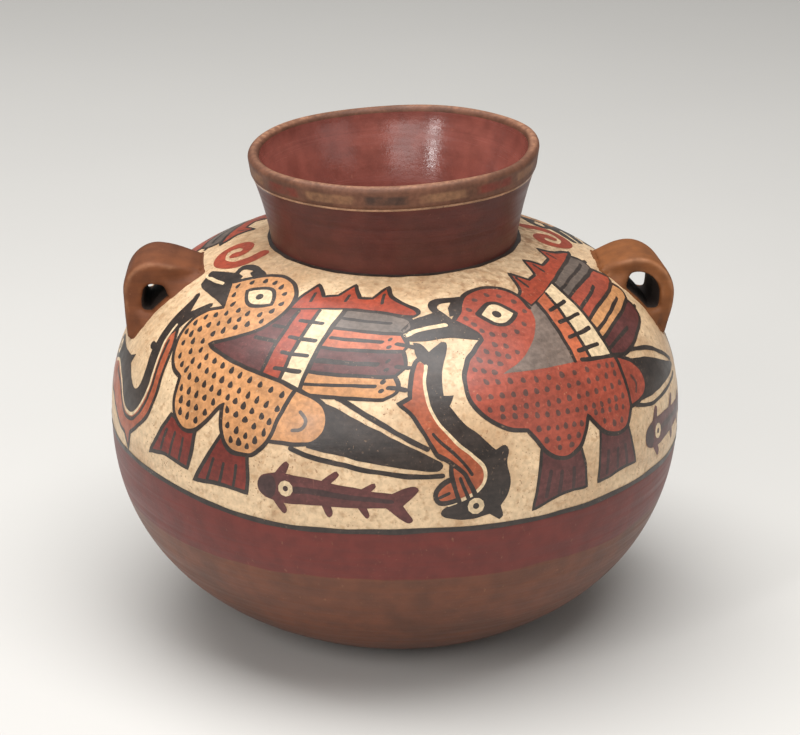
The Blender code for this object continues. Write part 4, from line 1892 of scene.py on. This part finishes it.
        marks += [
            Dots(Slip.BLACK, 2.0, 2.0, ((54.2, 82.8), (55.6, 78.7), (58.5, 72.3), (59.6, 68), (60.8, 62.5),
                                        (61.5, 58.6))),
            Dots(Slip.BLACK, 2.3, 3.2, (
                (-37, 57.5), (-33.6, 54.6), (-29.7, 53.8), (-38.9, 62.8), (-31.7, 61), (-26.3, 63.5),
                (-40.6, 67.7), (-36.8, 67.7), (-33.4, 65.3), (-38.6, 72.7), (-33.2, 71), (-27.7, 67.2),
                (-34.6, 77.4), (-29.6, 74.5), (-24.5, 71.8), (-29.6, 80), (-25, 77.3), (-19.6, 75),
                (-24.3, 83), (-20.2, 80.3), (-14.7, 78.1), (-24.5, 88.3), (-19.1, 86.3), (-15.4, 82.4),
                (-9.6, 81.3), (-13.4, 86.4), (-7.2, 87.6), (-4.3, 84.8), (-28, 92.5), (-30.1, 97.4),
                (-24.3, 101.9), (-18, 105.4), (-12.9, 106.5), (-8, 105.3), (-3.6, 101.9), (-1.3, 95.9),
                (-3, 90.9)), (
                ((-20.9, 61.6), (0, 58.6), (22, 54), 9), ((-27.8, 57.9), (-3, 53.4), (21.9, 47.9), 11),
                ((-26.1, 51.3), (-2.5, 48.4), (20, 42.3), 11),
                ((-28.7, 45.8), (-18.8, 45.5), (-8.8, 44.8), 5),
                ((-27.2, 40.9), (-19.5, 40.4), (-11.7, 39.5), 4),
                ((-26, 36.3), (-21, 35.9), (-15.9, 35.2), 3), ((-0.8, 43.5), (9, 40.8), (18.5, 37.8), 5),
                ((1.2, 37.3), (8.3, 35.5), (15.3, 33.7), 4),
                ((3.9, 31.9), (8, 31.4), (12.1, 30.8), 3)), 0.45),
            ink(1.9, *body, closed=True),
            *edged(Slip.CREAM, 1.9, eye),
            Dots(Slip.BLACK, 4.0, 4.0, ((-14.1, 96.4),)),
        ]
        return Figure("ochre_bird", marks)

    @staticmethod
    def red_bird() -> Figure:
        """Draws the red bird on the right, built like the ochre one.

        Returns:
            The figure.
        """
        body = (
            K(-26.3, 91), (-21, 96.7), (-15.7, 103.5), (-9.7, 106.8), (-1.7, 107.3), (4.7, 103.7),
            (8.7, 97.7), (9.3, 90), (7.7, 83.3), (3.3, 77), (-3.3, 71), (-11.7, 65.7), K(-19.7, 62.7),
            (1.7, 61.2), (20, 60), K(40, 56.3), (41, 50), K(41.5, 33.5), (36, 26.5), (28.4, 26),
            (20.8, 29.2), K(13.8, 37.6), (10.8, 31.2), (6, 25.6), (-2, 23.4), (-10, 27.6), (-14.8, 34.4),
            K(-17.2, 38), (-24.8, 39.6), (-33.2, 45.2), (-37.6, 52.8), (-37, 61), (-33.3, 68.3),
            (-27, 74.7), K(-20.8, 79.6), (-20.8, 82.5), (-23.5, 87))
        rump = (
            K(40, 56.3), (45, 53.5), (51, 50), (55.5, 45), (57, 40.5), (55.5, 36.5), (50, 34),
            K(41.5, 33.5))
        crest = (
            K(8.9, 97.5), (11.4, 99.5), (13, 103.8), K(14.6, 111.5), (18.6, 106.8), K(21.1, 104),
            K(27, 105.1), K(30, 114.7), (33.6, 111.5), K(37.4, 107.4), K(46.6, 107.4), K(48.6, 114),
            (56.7, 106.8), (64.7, 103), K(70.5, 99.5), (55, 100.2), (43, 99.7), (33, 97.7), (17, 92.3),
            K(10.8, 90.3))
        eye = (
            K(-14.8, 92.4), (-11, 95.5), (-7, 97.5), (-3.5, 96.8), (-1, 93.5), K(1.5, 89.2), (-3, 86.3),
            (-6.5, 84.8), (-10.5, 86), (-13.2, 89.3))
        marks: list[Mark] = [
            Area(Slip.BLACK, K(46, 51.5), K(51.6, 51), (65.8, 47), (88.3, 37.5), (98.2, 33), (94.3, 32),
                 (79.3, 32), (64.3, 32.2), K(46, 33.4)),
            ink(1.8, (52, 54.6), (64.4, 51.5), (75.8, 47), (87.6, 41), (96.7, 35.5)),
            ink(1.6, (45.7, 33), (52.6, 30.5), (59.8, 29.2), (74.8, 28.8), (96.8, 29.5)),
        ]
        foot_one = (
            K(-12.4, 28.8), (-14.8, 18), K(-17.6, 4.4), (-8, 7.6), (-2, 8.6), K(9.6, 8.4), (8.8, 18),
            K(7.6, 25))
        foot_two = (
            K(19.2, 30), (18, 22), K(16, 8.4), (22, 8.8), (32, 10), K(41.5, 9.5), (40, 16), K(37, 28))
        for foot in (foot_one, foot_two):
            marks += edged(Slip.MAROON, 1.3, foot)
        toes = (
            ((-9, 19), (-11.5, 9)), ((-3.5, 18), (-5, 9.5)), ((2.8, 18), (2, 10)), ((23, 20), (21.5, 11)),
            ((29, 19.5), (28.5, 11.5)), ((34, 19.5), (35, 11.5)))
        for start, end in toes:
            marks.append(Line(Slip.DEEP_MAROON, 1.8, start, end))
        marks += [
            Area(Slip.BIRD_RED, *rump),
            ink(1.7, *rump),
            Line(Slip.SOFT_DARK, 1.4, (47, 45), (49, 41), (47.5, 38)),
            Area(Slip.BLACK, K(-50.4, 87.5), (-43.5, 92.5), (-35, 95.7), K(-29, 97.8), K(-21.7, 79.3),
                 (-28.2, 81.2), (-34, 82.2), (-42.9, 81.5), K(-51.3, 81.7), K(-49.5, 84.2)),
            Line(Slip.CREAM, 1.8, (-50, 84.6), (-45, 86.7), (-40, 88), (-31, 89.3)),
            ink(3.4, (-30.6, 96.5), (-30.6, 99.5), (-28.5, 102), (-25, 103.2), (-16.7, 103)),
            Area(Slip.BLACK, K(-22.6, 100.5), (-21.1, 102.2), K(-15.7, 104.3), K(-17, 100), K(-23.3, 94),
                 K(-27, 93.5), K(-25.1, 98.2)),
            Area(Slip.BLACK, K(-26.5, 91.5), K(-19.5, 80), K(-25, 80.8), K(-30.5, 88)),
            Area(Slip.BIRD_RED, *body),
            *edged(Slip.CREST_RED, 1.6, crest),
            # the charcoal wing patch, lightened as painted sheen
            Area(Slip.CHARCOAL_WITH_SHEEN, K(8.9, 97.5), K(10.8, 90.3), K(14.9, 91.6), K(16.2, 60.3), *body[12:6:-1]),
            Area(Slip.ORANGE, K(14.9, 91.6), K(23.3, 94.8), (23.8, 75.7), K(25.1, 59.6), K(16.2, 60.3)),
            Area(Slip.CREAM, K(23.3, 94.8), K(32.3, 97.3), (34, 87.2), (36.1, 75.7), K(38.8, 56.6),
                 K(25.1, 59.6)),
        ]
        under_grey = (K(34, 87.2), (41.2, 88.8), (52.6, 89.5), (66.9, 89))
        under_red = (K(36.2, 74.5), (43, 76.1), (50.4, 77.4), (68.5, 78.2))
        under_ochre = (K(37.8, 64.2), (44.4, 65.7), (51.9, 67.2), (69.8, 69))
        for slip, feather in (
            (Slip.GREY, (K(32.3, 97.5), (43, 99.7), (55, 100.2), K(66, 99.6), (71.5, 94), (72, 91),
                         K(70.8, 88.5), *under_grey[::-1])),
            (Slip.BIRD_RED, (*under_grey, K(71.3, 88.4), (77, 83.5), (80, 80.5), K(76.8, 78.4),
                             *under_red[::-1])),
            (Slip.OCHRE, (*under_red, K(77, 78.2), (81, 74), (81.2, 71.5), K(78.4, 69.4),
                          *under_ochre[::-1])),
            (Slip.MAROON, (*under_ochre, K(77.8, 69.2), (80.6, 65.5), (80, 61.8), K(76.8, 59.5),
                           (70.9, 58.4), (60.8, 56.1), (55.6, 54.9), (47.7, 54.2), K(38.9, 56.5))),
        ):
            marks += edged(slip, 1.8, feather)
        for width, *points in (
            (2.0, (14.9, 91), (16.2, 60.6)), (1.8, (23.3, 94), (23.8, 75.7), (25.1, 59.8)),
            (2.0, (32.3, 96.8), (34, 87.2), (36.1, 75.7), (38.8, 57)), (1.9, (18.5, 85.7), (29.6, 86.8)),
            (1.9, (19.2, 78.8), (32.3, 78.8)), (1.9, (19.6, 71.1), (33.3, 71.1)),
            (1.9, (20.3, 64.2), (33, 63.4)), (1.6, (34, 92.6), (47.9, 94.5), (66.1, 93.8)),
            (1.8, (36.2, 80.7), (44.1, 82.2), (57.2, 84.5)),
            (1.8, (38.3, 68.6), (47.6, 70.7), (58.9, 72.6), (69.1, 73.6)),
            (1.8, (39, 59.5), (48.8, 61.1), (60.1, 62.2)), (1.7, (72.5, 92.5), (75, 91.8)),
            (1.7, (78, 83), (81.2, 82.2)), (1.7, (80.5, 64.5), (83, 64.5)),
            (1.3, (15.9, 107.6), (17.3, 100.7)), (1.3, (32.2, 109.9), (33.8, 104.2)),
            (1.3, (50.7, 109.2), (52, 104.5)),
        ):
            marks.append(ink(width, *points))
        marks += [
            Dots(Slip.SOFT_DARK, 2.4, 2.7, (
                (33, 54), (36.5, 53), (-3.6, 28.4), (2.6, 27.8), (22.8, 33.2), (28.4, 30.4), (33.5, 30.5),
                (-16.7, 76.3), (-12.3, 74.7), (-21.7, 73.7), (-17.3, 71.7), (-9, 71), (-26.7, 70.3),
                (-22.5, 68.7), (-14, 69.7), (-30.3, 66.3), (-27, 65.2), (-23, 63.7), (-18.7, 67),
                (-11.3, 101), (-4.8, 102.8), (0, 100.5), (4.3, 95.3), (5.7, 89.3), (1.8, 83.2), (-16.8, 96),
                (-21.2, 91.5), (-19.8, 87.7), (-18, 84), (-15.2, 81.3), (-10, 79.7), (-4, 80.3)), (
                ((-28.4, 60.4), (-3.4, 57.6), (27.8, 55), 10),
                ((-33.8, 54.2), (-0.2, 52.4), (36, 49.5), 14), ((-31, 48.8), (3.4, 46.8), (37, 45), 14),
                ((-26.4, 45.2), (6, 41.6), (37, 39.5), 14), ((-12, 37.6), (-1, 36.6), (9.6, 35.4), 6),
                ((-9.2, 32.4), (-1, 31.8), (7, 31), 4), ((18.2, 37.8), (27, 36.8), (36, 35.5), 5)), 0.25),
            ink(1.9, *body[14:], *body[:8]),
            *edged(Slip.CREAM, 2.0, eye),
            Dots(Slip.BLACK, 4.0, 4.0, ((-7, 91),)),
        ]
        return Figure("red_bird", marks)


@dataclass(frozen=True)
class Lamp:
    """A soft oblong light that faces the jar."""

    name: str
    place: Place
    size: tuple[float, float]
    power: float


@dataclass
class Studio:
    """The plain room: a pale floor, soft lights and the camera at the photo's angle."""

    width: int = 800
    height: int = 735
    lens: float = 130.45
    camera_place: Place = (0.0, -1.19449, 0.56970)
    camera_tilt: float = 69.02
    camera_turn: float = -0.125
    floor_colour: Colour = (200, 198, 194)
    lights: tuple[Lamp, ...] = (
        Lamp("top", (-0.08, -0.10, 1.55), (2.20, 1.20), 42.0),
        Lamp("left", (-0.90, -1.15, 0.85), (0.11, 0.80), 7.0),
        Lamp("front", (-0.30, -1.55, 0.95), (0.80, 0.70), 5.5),
        Lamp("right", (1.20, -0.80, 0.60), (0.90, 0.90), 2.0),
    )
    aim: Place = (0.0, 0.0, 0.10)
    floor_half: float = 4.0
    sky: float = 0.18
    sky_colour: tuple[float, float, float, float] = (1.0, 0.99, 0.97, 1.0)
    sensor: float = 36.0

    def build(self) -> None:
        """Sets the scene."""
        self.camera()
        self.floor()
        for lamp in self.lights:
            self.hang(lamp)
        world = bpy.data.worlds.new("room")
        world.use_nodes = True
        ground = world.node_tree.nodes["Background"]
        ground.inputs["Color"].default_value = self.sky_colour
        ground.inputs["Strength"].default_value = self.sky
        bpy.context.scene.world = world
        bpy.context.scene.view_settings.view_transform = "Standard"

    @staticmethod
    def placed(place: Place) -> Vector:
        """A place of the room, carried round the jar to where the photo looks from."""
        return Matrix.Rotation(math.radians(-VIEW_TURN), 3, "Z") @ Vector(place)

    def camera(self) -> None:
        """Places the camera."""
        data = bpy.data.cameras.new("camera")
        data.lens = self.lens
        data.sensor_width = self.sensor
        obj = bpy.data.objects.new("camera", data)
        obj.location = self.placed(self.camera_place)
        turn = math.radians(self.camera_turn - VIEW_TURN)
        obj.rotation_euler = (math.radians(self.camera_tilt), 0.0, turn)
        scene = bpy.context.scene
        scene.collection.objects.link(obj)
        scene.camera = obj
        scene.render.resolution_x = self.width
        scene.render.resolution_y = self.height
        scene.render.resolution_percentage = 100

    def hang(self, lamp: Lamp) -> None:
        """Hangs a light.

        Args:
            lamp: The light.
        """
        data = bpy.data.lights.new(lamp.name, "AREA")
        data.shape = "RECTANGLE"
        data.size, data.size_y = lamp.size
        data.energy = lamp.power
        obj = bpy.data.objects.new(lamp.name, data)
        obj.location = self.placed(lamp.place)
        aim = Vector(self.aim) - obj.location
        obj.rotation_euler = aim.to_track_quat("-Z", "Y").to_euler()
        bpy.context.scene.collection.objects.link(obj)

    def floor(self) -> None:
        """Lays the floor."""
        half = self.floor_half
        mesh = bpy.data.meshes.new("floor")
        square = [(-half, -half, 0.0), (half, -half, 0.0), (half, half, 0.0), (-half, half, 0.0)]
        mesh.from_pydata(square, [], [[0, 1, 2, 3]])
        sketch = Sketch("floor")
        colour = sketch.tone(linear(self.floor_colour), sketch.grain(3.0), 0.99, 1.01)
        relief = sketch.bump(sketch.grain(400.0), 0.0001, 0.2)
        mesh.materials.append(sketch.finish(colour, 0.8, relief, 0.2))
        settle("floor", mesh)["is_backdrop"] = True


def corners() -> list[list[float]]:
    """The lowest and highest corner of what is shown, as plain lists."""
    low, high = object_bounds()
    return [list(low), list(high)]


def main() -> None:
    """Builds the jar's pieces in order, then the room."""
    logging.basicConfig(level=logging.INFO, format="%(message)s")
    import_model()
    wall = Wall()
    mouth = Mouth()
    pieces = [
        Bowl(wall).build(),
        Shoulder(wall).build(),
        mouth.neck(),
        mouth.lip(),
        mouth.cream_line(),
        StrapHandle(
            wall, Side.LEFT, reach=0.1165, thickness=0.0086, crown=0.0112, top=0.1687, width=0.0310,
            corner=0.0088, corner_fill=0.0115, root_radius=0.0820, root_drop=0.0055, root_taper=0.25,
            foot_height=0.1230, foot_tuck=0.0020, foot_fill=0.0075,
            smear_middle=0.0697, smear_half_width=0.0185, smear_half_height=0.0198,
            # the left handle's clay is painted darker, as painted shade
            clay=handle_clay_with_painted_light("left", (107, 61, 35), (86, 50, 32)),
        ).build(),
        StrapHandle(
            wall, Side.RIGHT, reach=0.1204, thickness=0.0070, crown=0.0074, top=0.1652, width=0.0312,
            corner=0.0128, corner_fill=0.0100, root_radius=0.0875, root_drop=0.0055, root_taper=0.30,
            foot_height=0.1255, foot_tuck=0.0045, foot_fill=0.0076,
            smear_middle=0.0655, smear_half_width=0.0184, smear_half_height=0.0160,
            # the right handle's clay is painted lighter than the left, as the lit side
            clay=handle_clay_with_painted_light("right", (125, 75, 38), (101, 61, 34)),
        ).build(),
        Ring(wall, "border_line", 0.0, 0.0023, Slip.BLACK, stray=border_arc).build(),
        Ring(wall, "neck_line", wall.last_arc() - 0.0007, 0.0021, Slip.BLACK).build(),
    ]
    pieces += Frieze(wall).build()
    for piece in pieces:
        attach(piece, BODY)
        log.info("%s: %d faces", piece.name, len(piece.data.polygons))
    Studio().build()


if __name__ == "__main__":
    main()
